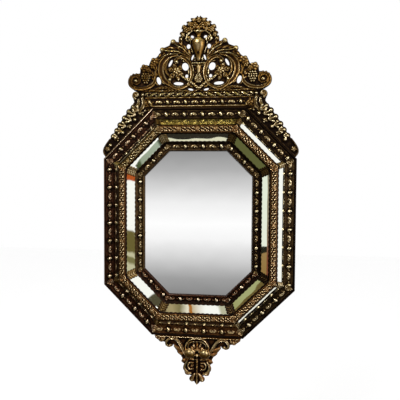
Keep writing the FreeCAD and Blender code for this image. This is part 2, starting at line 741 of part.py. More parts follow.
def screw_ring(x, radius, d):
    """Points round a screw's axis."""
    turns = [2 * math.pi * k / WIRE_SIDES for k in range(WIRE_SIDES)]
    place = [(x + radius * math.cos(turn), HANGER_RISE + radius * math.sin(turn)) for turn in turns]
    return [FreeCAD.Vector(px, -d, pz) for px, pz in place]


def pocketed(rail_shape, sign):
    """Rail with the pocket and pilot holes of its hanger in the rear face."""
    low = HANGER_RISE - POCKET_HEIGHT / 2
    pocket = slab(sign * HANGER_X - POCKET_WIDTH / 2, low, POCKET_WIDTH, POCKET_HEIGHT, 0, POCKET_DEPTH)
    deep = POCKET_DEPTH + SCREW_LENGTH + FIT_GAP
    for x in screw_places(sign):
        rail_shape = rail_shape.cut(screw_hole(x, deep))
    return rail_shape.cut(pocket)


def hanger_plate(sign):
    """Two hole plate on the pocket's floor, with a knuckle round the ring's bar."""
    middle = sign * HANGER_X
    seat = POCKET_DEPTH - HANGER_PLATE
    left = middle - HANGER_PLATE_LENGTH / 2
    low = HANGER_RISE - HANGER_PLATE_WIDTH / 2
    plate = slab(left, low, HANGER_PLATE_LENGTH, HANGER_PLATE_WIDTH, seat, HANGER_PLATE)
    bore = RING_WIRE_RADIUS + RING_GAP
    start = middle - KNUCKLE_LENGTH / 2
    sideways = FreeCAD.Vector(1, 0, 0)
    knuckle = rod(start, HANGER_RISE, BAR_DEPTH, bore + KNUCKLE_WALL, KNUCKLE_LENGTH, sideways)
    web_depth = seat + HANGER_PLATE / 2 - BAR_DEPTH
    web = slab(start, HANGER_RISE - bore, KNUCKLE_LENGTH, 2 * bore, BAR_DEPTH, web_depth)
    shape = plate.fuse(knuckle).fuse(web)
    shape = shape.cut(rod(left, HANGER_RISE, BAR_DEPTH, bore, HANGER_PLATE_LENGTH, sideways))
    for x in screw_places(sign):
        shape = shape.cut(screw_hole(x, POCKET_DEPTH + FIT_GAP))
    return shape.removeSplitter()


def hanger_screw(x):
    """Pan head wood screw through the hanger plate."""
    seat = POCKET_DEPTH - HANGER_PLATE
    top = seat - SCREW_HEAD_HEIGHT
    sizes = [
        (SCREW_HEAD_RADIUS, top),
        (SCREW_HEAD_RADIUS, seat),
        (SCREW_RADIUS, seat),
        (SCREW_RADIUS, seat + SCREW_LENGTH),
    ]
    return faceted([screw_ring(x, radius, d) for radius, d in sizes])


def hanger_ring(sign):
    """D ring: a straight bar in the knuckle, two legs and a half round loop, hanging down."""
    x, d, wire = sign * HANGER_X, BAR_DEPTH, RING_WIRE_RADIUS
    reach = RING_INNER_RADIUS + wire
    turns = [math.radians(360 / WIRE_SIDES * (k + 0.5)) for k in range(WIRE_SIDES)]
    profile = [(reach + wire * math.cos(turn), wire * math.sin(turn)) for turn in turns]
    stations = [[FreeCAD.Vector(x + r, h - d, HANGER_RISE + wire) for r, h in profile]]
    for k in range(LOOP_STEPS + 1):
        turn = math.pi * k / LOOP_STEPS
        c, s = math.cos(turn), math.sin(turn)
        low = HANGER_RISE - RING_LEG
        stations.append([FreeCAD.Vector(x + r * c, h - d, low - r * s) for r, h in profile])
    stations.append([FreeCAD.Vector(x - r, h - d, HANGER_RISE + wire) for r, h in profile])
    bar_shape = rod(x - reach, HANGER_RISE, d, wire, 2 * reach, FreeCAD.Vector(1, 0, 0))
    return joined([bar_shape, faceted(stations)])


def top_rail_with_backing(shape):
    """Top rail cut from a wider board, whose upper part backs the crest."""
    height = BASE_STRIP_HEIGHT + BRASS_SHEET
    half = mitre_end(SIDES[0], BRASS_SHEET)
    backing = slab(-half, HALF_HEIGHT - BRASS_SHEET, 2 * half, height, 0, BACKING_THICKNESS)
    return shape.fuse(backing).removeSplitter()


def build():
    """All the pieces by name."""
    nodes = {}
    for side in SIDES:
        name = side[0]
        wood = rail(side)
        if name == "top":
            wood = top_rail_with_backing(wood)
        if name in ("left", "right"):
            wood = pocketed(wood, 1 if name == "right" else -1)
        nodes["rail_" + name] = wood
        nodes["outer_mirror_" + name] = panel(side, OUTER_LOW, OUTER_TOP, OUTER_UP, OUTER_NORMAL)
        nodes["inner_mirror_" + name] = panel(side, INNER_LOW, INNER_TOP, INNER_UP, INNER_NORMAL)
        nodes["outer_bead_strip_" + name] = outer_bead_strip(side)
        nodes["ridge_strip_" + name] = ridge_strip(side)
        nodes["inner_bead_strip_" + name] = inner_bead_strip(side)
    nodes["mitre_covers"] = mitre_covers()
    nodes["center_mirror"] = center_mirror()
    nodes["backboard"] = octagon(REBATE + PLATE_GAP, 0, BACKBOARD_THICKNESS)
    nodes["crest_panel"] = crest_panel()
    nodes["crest_base_strip"] = crest_base_strip()
    nodes["bracket_right"] = bracket_right()
    nodes["bracket_left"] = mirrored(nodes["bracket_right"])
    nodes["pendant"] = pendant()
    nodes["hanger_plates"] = Part.makeCompound([hanger_plate(-1), hanger_plate(1)])
    screws = [hanger_screw(x) for sign in (-1, 1) for x in screw_places(sign)]
    nodes["hanger_screws"] = Part.makeCompound(screws)
    nodes["ring_left"] = hanger_ring(-1)
    nodes["ring_right"] = hanger_ring(1)
    return nodes


os.makedirs("parts", exist_ok=True)
for node, shape in build().items():
    state = "valid" if shape.isValid() else "INVALID"
    print(node, state, "solids", len(shape.Solids), "volume", round(shape.Volume))
    shape.exportStep("parts/" + node + ".step")
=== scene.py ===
import json
import math

import bmesh
import bpy
import numpy as np
from mathutils import Matrix, Vector


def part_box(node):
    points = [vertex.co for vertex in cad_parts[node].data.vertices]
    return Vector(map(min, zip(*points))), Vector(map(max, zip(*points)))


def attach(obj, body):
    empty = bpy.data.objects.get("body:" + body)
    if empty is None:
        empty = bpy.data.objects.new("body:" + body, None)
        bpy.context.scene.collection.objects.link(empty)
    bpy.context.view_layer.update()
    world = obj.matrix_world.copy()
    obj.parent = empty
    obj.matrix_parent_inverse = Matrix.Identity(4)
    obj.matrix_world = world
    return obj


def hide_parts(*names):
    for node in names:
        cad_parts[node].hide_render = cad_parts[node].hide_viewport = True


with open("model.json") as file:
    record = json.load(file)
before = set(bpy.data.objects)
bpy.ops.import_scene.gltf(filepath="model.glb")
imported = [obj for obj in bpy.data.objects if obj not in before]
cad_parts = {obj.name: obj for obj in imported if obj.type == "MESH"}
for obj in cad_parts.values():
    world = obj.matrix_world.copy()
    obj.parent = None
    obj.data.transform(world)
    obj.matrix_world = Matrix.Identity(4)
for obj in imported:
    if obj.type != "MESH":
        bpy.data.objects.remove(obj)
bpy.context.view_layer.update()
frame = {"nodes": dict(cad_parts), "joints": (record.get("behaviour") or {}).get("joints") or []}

# Octagonal cushion mirror. Shapes are worked out in millimetres: the origin is the middle of the octagon on
# the wall plane, +Z is up and the front faces -Y. Along a side, u runs clockwise as seen from the front,
# s runs inward from the outer edge, and d is the height in front of the wall.

scene = bpy.context.scene
MM = 0.001

# Octagon, and the section of the frame as (s, d) points
HALF_WIDTH, HALF_HEIGHT, CORNER = 260.0, 309.0, 135.0
MITRE = math.tan(math.radians(22.5))
EDGE_TOP, LEDGE_TOP, REBATE_TOP, SIGHT = 16.0, 18.0, 12.0, 114.0
OUTER_FOOT, OUTER_HEAD = (30.5, 16.0), (52.5, 40.0)
INNER_FOOT, INNER_HEAD = (91.5, 18.0), (65.5, 40.0)
SHEET, GLASS, END_GAP, MITRE_GAP, FIT_GAP = 1.2, 2.5, 0.5, 0.4, 0.3
LAP, OUTER_LAP, LAP_WAVE = 3.3, 1.0, 1.5
EDGE_ROLL, SIGHT_ROLL, CROWN_RISE = 3.0, 2.2, 3.0
FLANGE_FOOT, TOP_FLANGE_FOOT = 2.0, 10.3

# Ornaments: heights of their rear faces, their sheets and the line on which the crest stands
CREST_LINE, CREST_BACK, STRIP_BACK, TRIM_BACK = 352.0, 10.0, 12.0, 6.0
CREST_SHEET, STRIP_SHEET, TRIM_SHEET = 2.0, 1.3, 2.0
STRIP_HALF = 146.0

# Bosses along the strips: distance between them, height, half sizes along and across, and the place u of one
# boss of the outer and inner row
PITCH = 49.0
BOSS_HIGH, BOSS_WIDE, BOSS_LONG = 5.2, 4.7, 6.6
BOSS_AT = {
    "top": (11.1, 14.5),
    "top_right": (-20.2, 5.7),
    "right": (12.6, 14.0),
    "bottom_right": (8.0, 0.0),
    "bottom": (-18.9, -3.3),
    "bottom_left": (-12.0, 10.0),
    "left": (-3.2, 12.8),
    "top_left": (5.7, -1.0),
}

# Distance between points along a strip, and along a panel
STRIP_STEP, PANEL_STEP = 0.95, 4.0

# Wear of brass: on the ground of a strip, more for each mm of height and for each mm above what is near, and
# on the hidden faces of strips and of ornaments
STRIP_WEAR, HIGH_WEAR, EDGE_WEAR, BACK_WEAR, HOLLOW_WEAR = 0.175, 0.17, 0.40, 0.3, 0.34

# Colours of brass from the attribute wear, from the wax in the hollows to bare metal, and how much the patina
# varies
WEAR_STOPS, PATINA = (0.06, 0.28, 0.54, 0.92), 0.13
WAX = (0.014, 0.008, 0.006)


def octagon_sides():
    """Direction of the outward normal, middle and half length of each outer edge by name."""
    sides = {}
    for k, name in enumerate(BOSS_AT):
        angle = math.radians(90 - 45 * k)
        c, s = math.cos(angle), math.sin(angle)
        if k % 2:
            middle = (math.copysign(HALF_WIDTH - CORNER / 2, c), math.copysign(HALF_HEIGHT - CORNER / 2, s))
            half = CORNER / math.sqrt(2)
        else:
            middle = (HALF_WIDTH * round(c), HALF_HEIGHT * round(s))
            half = (HALF_WIDTH if round(s) else HALF_HEIGHT) - CORNER
        sides[name] = (angle, *middle, half)
    return sides


SIDES = octagon_sides()


def at(side, u, s, d):
    """Points at u, s, d of a side."""
    angle, mid_x, mid_z, _ = SIDES[side]
    nx, nz = math.cos(angle), math.sin(angle)
    u, s, d = np.broadcast_arrays(u, s, d)
    return np.stack([mid_x + nz * u - nx * s, -d, mid_z - nx * u - nz * s], axis=-1)


class Slope:
    """Front face of the panels on one slope: its low and top corner, the way up it and the way out of it."""

    def __init__(self, foot, head):
        foot, head = np.array(foot), np.array(head)
        self.up = (head - foot) / np.hypot(*(head - foot))
        self.out = np.array((-self.up[1], self.up[0])) * np.sign(self.up[0])
        self.low = foot + END_GAP * self.up + GLASS * self.out
        self.top = head - END_GAP * self.up + GLASS * self.out
        self.length = np.hypot(*(self.top - self.low))

    def at_height(self, point, d):
        """Point of the line up the slope through a point, at height d."""
        return point + self.up * ((d - point[1]) / self.up[1])


OUTER = Slope(OUTER_FOOT, OUTER_HEAD)
INNER = Slope(INNER_FOOT, INNER_HEAD)


def dome(r2):
    """Round top over a squared distance of 0 in the middle and 1 at the edge."""
    return np.sqrt(np.clip(1.0 - r2, 0.0, 1.0))


def ramp(x, low, high):
    """0 below low, 1 above high, smooth between."""
    t = np.clip((x - low) / (high - low), 0.0, 1.0)
    return t * t * (3 - 2 * t)


def repeat(u, pitch):
    """Distance from the nearest of the places 0, pitch, 2 pitch and so on."""
    return np.mod(u + pitch / 2, pitch) - pitch / 2


def blur(field, cells):
    """Mean over a square window, three times, along both axes."""
    size = 2 * cells + 1
    for _ in range(3):
        for axis in (0, 1):
            pad = [(0, 0), (0, 0)]
            pad[axis] = (cells + 1, cells)
            total = np.cumsum(np.pad(field, pad, mode="edge"), axis=axis)
            high = np.take(total, range(size, total.shape[axis]), axis=axis)
            low = np.take(total, range(0, total.shape[axis] - size), axis=axis)
            field = (high - low) / size
    return field


def hammered(u, v, amount):
    """Shallow uneven hammer marks."""
    a = np.sin(u * 0.83 + 1.7 * np.sin(v * 0.9)) * np.sin(v * 1.13 + 1.3 * np.sin(u * 0.61))
    b = np.sin(u * 1.9 + v * 1.1) * np.sin(v * 2.3 - u * 0.7)
    return amount * (a + 0.6 * b)


def flower(x, z, radius, petals, turn=0.0):
    """Rosette of height 1: petals round a bead."""
    r, angle = np.hypot(x, z), np.arctan2(z, x) + turn
    wave = np.abs(np.cos(angle * petals / 2))
    reach = radius * (0.72 + 0.28 * wave)
    leaf = dome((r / reach) ** 2) * (0.45 + 0.4 * wave) * ramp(r, 0.12 * radius, 0.5 * radius)
    return np.maximum(leaf, dome((r / (0.3 * radius)) ** 2) * 0.95)


def lens(x, z, length, width, angle):
    """Small pointed leaf of height 1 with a rib, about its middle."""
    c, s = math.cos(angle), math.sin(angle)
    along, across = (x * c + z * s) / length, (z * c - x * s) / width
    edge = np.clip(1 - along * along, 0, 1)
    q = np.abs(across) / np.maximum(edge, 1e-3)
    rib = 0.75 + 0.25 * np.exp(-(q / 0.25) ** 2)
    return np.where(edge > 0, np.clip(1 - q * q, 0, 1) ** 0.6 * rib * edge ** 0.3, 0)


def nodes_of(name):
    """New material with its tree and its main shader."""
    material = bpy.data.materials.new(name)
    material.use_nodes = True
    tree = material.node_tree
    return material, tree, tree.nodes["Principled BSDF"]


def add(tree, kind, **values):
    """Node with properties and input values by name."""
    node = tree.nodes.new(kind)
    for key, value in values.items():
        if hasattr(node, key):
            setattr(node, key, value)
        else:
            node.inputs[key].default_value = value
    return node


def noise(tree, scale, detail=4.0, rough=0.55, stretch=1.0, turn=0.0):
    """Noise over the object, stretched along a direction of the wall plane if asked."""
    out = add(tree, "ShaderNodeTexCoord").outputs["Object"]
    if stretch != 1.0:
        mapping = add(tree, "ShaderNodeMapping", vector_type="TEXTURE")
        mapping.inputs["Rotation"].default_value = (0, -turn, 0)
        mapping.inputs["Scale"].default_value = (stretch, 1, 1)
        tree.links.new(out, mapping.inputs["Vector"])
        out = mapping.outputs["Vector"]
    texture = add(tree, "ShaderNodeTexNoise", Scale=scale, Detail=detail, Roughness=rough)
    tree.links.new(out, texture.inputs["Vector"])
    return texture.outputs["Fac"]


def calc(tree, operation, a, b, clamp=False):
    """Result of a sum on two sockets or numbers."""
    node = add(tree, "ShaderNodeMath", operation=operation, use_clamp=clamp)
    for socket, value in zip(node.inputs, (a, b)):
        if hasattr(value, "is_linked"):
            tree.links.new(value, socket)
        else:
            socket.default_value = value
    return node.outputs[0]


def colours(tree, factor, stops):
    """Colour along a row of (place, colour) stops."""
    node = add(tree, "ShaderNodeValToRGB")
    elements = node.color_ramp.elements
    while len(elements) < len(stops):
        elements.new(0.5)
    for element, (place, colour) in zip(elements, stops):
        element.position = place
        element.color = (*colour, 1)
    tree.links.new(factor, node.inputs["Fac"])
    return node.outputs["Color"]


def surface(tree, shader, colour, rough, metallic=1.0):
    """Colour and roughness of a surface, which is metal if not told otherwise."""
    tree.links.new(colour, shader.inputs["Base Color"])
    tree.links.new(rough, shader.inputs["Roughness"])
    shader.inputs["Metallic"].default_value = metallic


def bump(tree, shader, height, distance, strength):
    """Fine unevenness of a surface."""
    node = add(tree, "ShaderNodeBump", Strength=strength, Distance=distance)
    tree.links.new(height, node.inputs["Height"])
    tree.links.new(node.outputs["Normal"], shader.inputs["Normal"])


def brass(name, dark, middle, bare):
    """Aged brass: black wax in the hollows, bare metal on the heights, with cloudy patina and fine pits; its
    colour follows an attribute that carries painted highlights and painted shade besides the rubbing.
    """
    material, tree, shader = nodes_of(name)
    wear = add(tree, "ShaderNodeAttribute", attribute_name="wear").outputs["Fac"]
    cloud = calc(tree, "SUBTRACT", noise(tree, 55.0, 5.0), 0.5)
    grain = calc(tree, "SUBTRACT", noise(tree, 420.0, 3.0), 0.5)
    mixed = calc(tree, "ADD", wear, calc(tree, "MULTIPLY", cloud, PATINA * 2))
    mixed = calc(tree, "ADD", mixed, calc(tree, "MULTIPLY", grain, PATINA), clamp=True)
    stops = list(zip(WEAR_STOPS, (WAX, dark, middle, bare)))
    rough = calc(tree, "SUBTRACT", 0.47, calc(tree, "MULTIPLY", mixed, 0.28))
    surface(tree, shader, colours(tree, mixed, stops), rough)
    bump(tree, shader, noise(tree, 900.0, 3.0), 0.0004, 0.5)
    return material


def mirror_glass(name, tint, spots):
    """Old silvered glass: clear, a little uneven, with brown spots where the silver has gone."""
    material, tree, shader = nodes_of(name)
    rim = add(tree, "ShaderNodeAttribute", attribute_name="rim").outputs["Fac"]
    lost = calc(tree, "ADD", noise(tree, 90.0, 6.0, 0.65), calc(tree, "MULTIPLY", rim, 0.22))
    brown = (tint[0] * 0.30, tint[1] * 0.27, tint[2] * 0.16)
    faded = tuple(0.86 * v for v in tint)
    colour = colours(tree, lost, ((spots - 0.16, tint), (spots, faded), (spots + 0.12, brown)))
    rough = calc(tree, "MULTIPLY", calc(tree, "SUBTRACT", lost, spots - 0.18, clamp=True), 0.9)
    surface(tree, shader, colour, calc(tree, "ADD", rough, 0.02))
    bump(tree, shader, noise(tree, 14.0, 1.0), 0.0006, 0.25)
    return material


def wood(name, dark, light, turn):
    """Stained wood with its grain along one direction of the wall plane."""
    material, tree, shader = nodes_of(name)
    grain = noise(tree, 60.0, 8.0, 0.6, 14.0, turn)
    pores = noise(tree, 420.0, 4.0, 0.7, 33.0, turn)
    mixed = calc(tree, "ADD", calc(tree, "MULTIPLY", grain, 0.75), calc(tree, "MULTIPLY", pores, 0.3))
    middle = tuple((a + b) / 2 for a, b in zip(dark, light))
    colour = colours(tree, mixed, ((0.36, dark), (0.52, middle), (0.70, light)))
    rough = calc(tree, "SUBTRACT", 0.78, calc(tree, "MULTIPLY", mixed, 0.25))
    surface(tree, shader, colour, rough, metallic=0.0)
    bump(tree, shader, mixed, 0.0008, 0.6)
    return material


def steel(name, colour, turn=0.0):
    """Plated steel with fine drawn lines and dull patches."""
    material, tree, shader = nodes_of(name)
    dull = noise(tree, 120.0, 5.0)
    worn = tuple(0.55 * v for v in colour)
    rough = calc(tree, "ADD", calc(tree, "MULTIPLY", dull, 0.35), 0.18)
    surface(tree, shader, colours(tree, dull, ((0.35, worn), (0.6, colour))), rough)
    bump(tree, shader, noise(tree, 500.0, 3.0, 0.6, 20.0, turn), 0.0002, 0.5)
    return material


OLIVE_BRASS = brass("olive_brass", (0.090, 0.052, 0.020), (0.28, 0.175, 0.060), (0.97, 0.83, 0.54))
RED_BRASS = brass("reddish_brass", (0.115, 0.042, 0.021), (0.31, 0.145, 0.062), (0.97, 0.79, 0.57))
GOLD_BRASS = brass("golden_brass", (0.080, 0.037, 0.010), (0.32, 0.175, 0.040), (0.98, 0.83, 0.50))
COPPER_BRASS = brass("coppery_brass", (0.120, 0.046, 0.017), (0.36, 0.170, 0.050), (0.98, 0.77, 0.45))
PANEL_GLASS = mirror_glass("panel_glass", (0.86, 0.87, 0.80), 0.82)
# Yellow tint and many dark spots, painted as the speckled reflection of the gilt crest and strip above the
# top outer panel
CREST_REFLECTION_GLASS = mirror_glass("crest_reflection_glass", (0.86, 0.80, 0.36), 0.52)
PLATE_GLASS = mirror_glass("plate_glass", (0.92, 0.92, 0.92), 0.90)
RING_STEEL = steel("ring_steel", (0.62, 0.60, 0.55), 1.1)
PLATED_STEEL = steel("plated_steel", (0.56, 0.55, 0.52))


def piece(name, points, faces, material, replaces=None, slot="brass", body="mirror", sharp=50.0, **fields):
    """One closed mesh that rides on a body and may take the place of a CAD node."""
    mesh = bpy.data.meshes.new(name)
    mesh.from_pydata((np.asarray(points, float) * MM).tolist(), [], faces)
    for key, values in fields.items():
        data = mesh.attributes.new(key, "FLOAT", "POINT").data
        data.foreach_set("value", np.asarray(values, np.float32).ravel())
    skin = bmesh.new()
    skin.from_mesh(mesh)
    bmesh.ops.recalc_face_normals(skin, faces=skin.faces)
    skin.to_mesh(mesh)
    skin.free()
    mesh.shade_smooth()
    mesh.set_sharp_from_angle(angle=math.radians(sharp))
    mesh.materials.append(material)
    made = bpy.data.objects.new(name, mesh)
    scene.collection.objects.link(made)
    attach(made, body)
    if replaces:
        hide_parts(replaces)


def grid_faces(rows, columns, start=0):
    """Faces between the points of a grid."""
    corner = np.arange(rows - 1)[:, None] * columns + np.arange(columns - 1)[None, :] + start
    quads = np.stack([corner, corner + columns, corner + columns + 1, corner + 1], axis=-1)
    return quads.reshape(-1, 4)


def shell(front, back):
    """Closed skin from a front grid and a back grid with as many columns."""
    rows, columns = front.shape[:2]
    deep = back.shape[0]
    points = np.concatenate([front.reshape(-1, 3), back.reshape(-1, 3)])
    low = rows * columns
    faces = [grid_faces(rows, columns), grid_faces(deep, columns, low)[:, ::-1]]
    j = np.arange(columns - 1)
    for f, b in ((0, low), ((rows - 1) * columns, low + (deep - 1) * columns)):
        faces.append(np.stack([f + j, f + j + 1, b + j + 1, b + j], axis=-1))
    faces = np.concatenate(faces).tolist()
    for column in (0, columns - 1):
        rim = [r * columns + column for r in range(rows)]
        rim += [low + r * columns + column for r in reversed(range(deep))]
        faces.append(rim)
    return points, faces


def tube_faces(rows, around, ends=True):
    """Faces round a row of rings of points, closed at both ends, or else from the last ring to the first."""
    k, j = np.meshgrid(np.arange(rows - ends), np.arange(around), indexing="ij")
    up, over = (k + 1) % rows, (j + 1) % around
    quads = np.stack([k * around + j, k * around + over, up * around + over, up * around + j], axis=-1)
    faces = quads.reshape(-1, 4).tolist()
    if ends:
        faces += [list(range(around)), list(range((rows - 1) * around, rows * around))]
    return faces


def joined(forms):
    """Points and faces of several closed forms as one mesh."""
    points, faces = [], []
    for form_points, form_faces in forms:
        faces += [[n + len(points) for n in face] for face in form_faces]
        points += list(form_points)
    return points, faces


def line_rows(a, b, out, count, cut=(0.0, 0.0)):
    """Rows of a strip from a to b that lean out one way; a cut edge at b moves by cut where it waves."""
    a, b, cut = np.array(a), np.array(b), np.array(cut)
    return [(*(a + (b - a) * t), *out, *(cut * t)) for t in np.linspace(0, 1, count)]


def arc_rows(centre, radius, start, end, count):
    """Rows of a strip round an arc, angles in degrees."""
    rows = []
    for angle in np.radians(np.linspace(start, end, count)):
        c, s = math.cos(angle), math.sin(angle)
        rows.append((centre[0] + radius * c, centre[1] + radius * s, c, s, 0.0, 0.0))
    return rows


def strip(name, node, side, rows, under, relief, material):
    """Sheet along a side: rows of (s, d, way out, cut), points under them, relief of height and shine."""
    half = SIDES[side][3]
    t = np.linspace(-1, 1, int(2 * half / STRIP_STEP))[None, :]
    s, d, out_s, out_d, cut_s, cut_d = (column[:, None] for column in np.asarray(rows, float).T)
    u = t * (half - s * MITRE)
    high, shine = relief(u, s, d, half - s * MITRE - np.abs(u))
    wave = np.abs(np.sin(4 * math.pi * u / PITCH))
    front_s = s + out_s * high + cut_s * wave
    front = at(side, t * (half - front_s * MITRE), front_s, d + out_d * high + cut_d * wave)
    back_s, back_d = (column[:, None] for column in np.asarray(under, float).T)
    back = at(side, t * (half - back_s * MITRE), back_s, back_d)
    points, faces = shell(front, back)
    # The shine from the relief holds painted highlights and painted shade per side as well as rubbing
    wear = STRIP_WEAR + HIGH_WEAR * high + EDGE_WEAR * (high - blur(high, 5)) + shine
    wear = np.concatenate([np.clip(wear, 0, 1).ravel(), np.full(back[..., 0].size, BACK_WEAR)])
    piece(name, points, faces, material, node, wear=wear)


# Beads beside a boss and in the middle of a spray: height, radius and place
SIDE_BEAD_HIGH, SIDE_BEAD_RADIUS, SIDE_BEAD_AT = 1.2, 1.9, 8.6
SPRAY_BEAD_HIGH, SPRAY_BEAD_RADIUS, SPRAY_BEAD_AT = 3.2, 2.3, (0.8, 1.2)


def bead_row(u, c, share):
    """Row of bosses that lie across, with a bead on each side, and sprays of leaves round a bead between."""
    x, y = repeat(u, PITCH), repeat(u + PITCH / 2, PITCH)
    boss = BOSS_HIGH * dome(((x - 0.15 * c) / BOSS_WIDE) ** 2 + (c / (BOSS_LONG * share)) ** 2)
    side_beads = dome(((np.abs(x) - SIDE_BEAD_AT) ** 2 + c * c) / SIDE_BEAD_RADIUS ** 2)
    over, up = SPRAY_BEAD_AT
    spray_beads = dome(((y - over) ** 2 + (c - up) ** 2) / SPRAY_BEAD_RADIUS ** 2)
    beads = np.maximum(SIDE_BEAD_HIGH * side_beads, SPRAY_BEAD_HIGH * spray_beads)
    leaves = 1.8 * lens(np.abs(y) - 4.6, c + 0.6, length=6.2, width=3.0, angle=0.55)
    curls = 1.1 * lens(np.abs(y) - 5.8, c - 3.6, length=4.2, width=1.8, angle=-0.35)
    return share * np.maximum.reduce([boss, beads, leaves, curls])


def corner_leaf(e, c, reach, width):
    """Ribbed half leaf of height 1 at the end of a strip, e from the mitre and c across."""
    q = np.clip(np.abs(c) / width, 0, 1)
    inside = ramp(reach * (1 - 0.55 * q * q) - e, 0.0, 2.0)
    ribs = 0.6 + 0.4 * np.cos(2 * math.pi * (e + 1.1 * np.abs(c)) / 5.0)
    return inside * ribs * (0.7 + 0.3 * np.exp(-(e / 1.5) ** 2))


# Painted light on the strips: a painted highlight line on each rolled edge, brightest at the upper left, and
# painted light and shade on each side's outer and inner field
ROLL_HIGHLIGHT = {"top_left": 1.0, "left": 0.60, "bottom_left": 0.25}
OUTER_FIELD_LIGHT = {"bottom": 0.20, "left": 0.08, "right": 0.12, "bottom_left": 0.07, "bottom_right": 0.05}
INNER_FIELD_LIGHT = {
    "left": 0.13, "top_left": 0.04, "top": 0.02, "bottom": -0.03, "bottom_right": -0.05, "right": -0.04,
}


def outer_strip(side):
    """Outside strip: flange, rolled edge, field with its beads, and lip over the outer panel."""
    foot = TOP_FLANGE_FOOT if side == "top" else FLANGE_FOOT
    level = EDGE_TOP + SHEET
    lip = OUTER.low + SHEET * OUTER.out
    bend = OUTER.at_height(lip, level)
    start = 2 * EDGE_ROLL + 0.4
    middle = (start + bend[0]) / 2
    rows = line_rows((0, foot), (0, level - 0.8), (-1, 0), 4)
    rows += arc_rows((EDGE_ROLL, level), EDGE_ROLL, 180, 8, 11)
    rows += line_rows((start, level), bend - (0.5, 0), (0, 1), 22)
    rows += line_rows(bend + 0.5 * OUTER.up, lip + OUTER_LAP * OUTER.up, OUTER.out, 8, LAP_WAVE * OUTER.up)

    def relief(u, s, d, e):
        on_roll, on_lip = (s < start - 0.1) & (d > level), s > bend[0]
        field = ~on_lip & (s >= start - 0.1)
        edge = ramp(s, start, start + 1.5) * (1 - ramp(s, bend[0] - 1.5, bend[0]))
        beads = bead_row(u - BOSS_AT[side][0], s - middle, 1.0) * ramp(e, 5, 8)
        high = np.maximum(beads, 2.0 * corner_leaf(e, s - middle, 9.0, 9.0)) * edge
        line = 0.3 * dome(((s - start - 1.0) / 0.8) ** 2)
        marks = hammered(u, 1.7 * s, 0.15) * (edge + 0.6 * on_lip)
        # Painted highlight: a bright line along the rolled edge, with the rest of the roll darkened round it
        highlight_line = ROLL_HIGHLIGHT.get(side, 0.0) * np.exp(-(((s - 2.4) / 1.1) ** 2))
        shine = np.where(on_roll, highlight_line - 0.12, -0.02 * on_lip)
        # Painted light and shade: each side's field lighter or darker by its own amount
        shine = shine + OUTER_FIELD_LIGHT.get(side, 0.0) * ~on_roll + 0.05 * (s < 0.1)
        return np.where(field, np.maximum(high, line), 0) + marks, shine

    under = [(SHEET, foot), (SHEET, EDGE_TOP), bend + (0.6, -SHEET), OUTER.low + OUTER_LAP * OUTER.up]
    brass_here = COPPER_BRASS if side == "bottom" else RED_BRASS if "left" in side else OLIVE_BRASS
    strip("outer_strip_relief_" + side, "outer_bead_strip_" + side, side, rows, under, relief, brass_here)


def ridge_strip(side):
    """Ridge strip: crowned sheet of small leaves with a lip over each ring of panels."""
    shoulder = max(OUTER.top[1], INNER.top[1]) + FIT_GAP + SHEET
    ends = [slope.top - LAP * slope.up for slope in (OUTER, INNER)]
    lips = [end + SHEET * slope.out for end, slope in zip(ends, (OUTER, INNER))]
    a, b = (slope.at_height(lip, shoulder) for lip, slope in zip(lips, (OUTER, INNER)))
    middle, reach = (a[0] + b[0]) / 2, (b[0] - a[0]) / 2
    radius = (reach ** 2 + CROWN_RISE ** 2) / (2 * CROWN_RISE)
    span = 0.97 * math.degrees(math.asin(reach / radius))
    centre = (middle, shoulder + CROWN_RISE - radius)
    rows = line_rows(a - 0.4 * OUTER.up, lips[0], OUTER.out, 5, -LAP_WAVE * OUTER.up)[::-1]
    rows += arc_rows(centre, radius, 90 + span, 90 - span, 26)
    rows += line_rows(b - 0.4 * INNER.up, lips[1], INNER.out, 5, -LAP_WAVE * INNER.up)

    def relief(u, s, d, e):
        c = s - middle
        crown = (np.abs(c) < reach - 0.2) & (d > shoulder)
        x, small = repeat(u, PITCH), repeat(u, PITCH / 4)
        between = repeat(u + PITCH / 8, PITCH / 4)
        leaves = lens(small - 0.6, c - 2.6, length=4.6, width=2.5, angle=0.8)
        leaves = np.maximum(leaves, lens(between + 0.6, c + 2.6, length=4.6, width=2.5, angle=0.8))
        beads = dome((between ** 2 + (c - 4.2) ** 2) / 1.9 ** 2)
        beads = np.maximum(beads, dome((small ** 2 + (c + 4.2) ** 2) / 1.8 ** 2))
        away = ramp(np.hypot(x, c), 4.5, 6.0)
        high = np.maximum(2.2 * leaves, 2.8 * beads) * away
        high = np.maximum(high, 2.5 * flower(x, c, 6.0, 6)) * ramp(e, 5, 8)
        high = np.maximum(high, 2.2 * corner_leaf(e, c, 9.0, reach))
        border = 0.9 * dome(((np.abs(c) - reach + 1.3) / 0.8) ** 2)
        marks = hammered(1.6 * u, 1.6 * s, 0.13)
        return np.where(crown, np.maximum(high, border), 0) + marks, 0.02 * crown - 0.04 * ~crown

    under = [ends[0], a - (0, SHEET), (middle, shoulder + CROWN_RISE - SHEET), b - (0, SHEET), ends[1]]
    brass_here = GOLD_BRASS if side == "top_left" else COPPER_BRASS
    strip("ridge_strip_relief_" + side, "ridge_strip_" + side, side, rows, under, relief, brass_here)


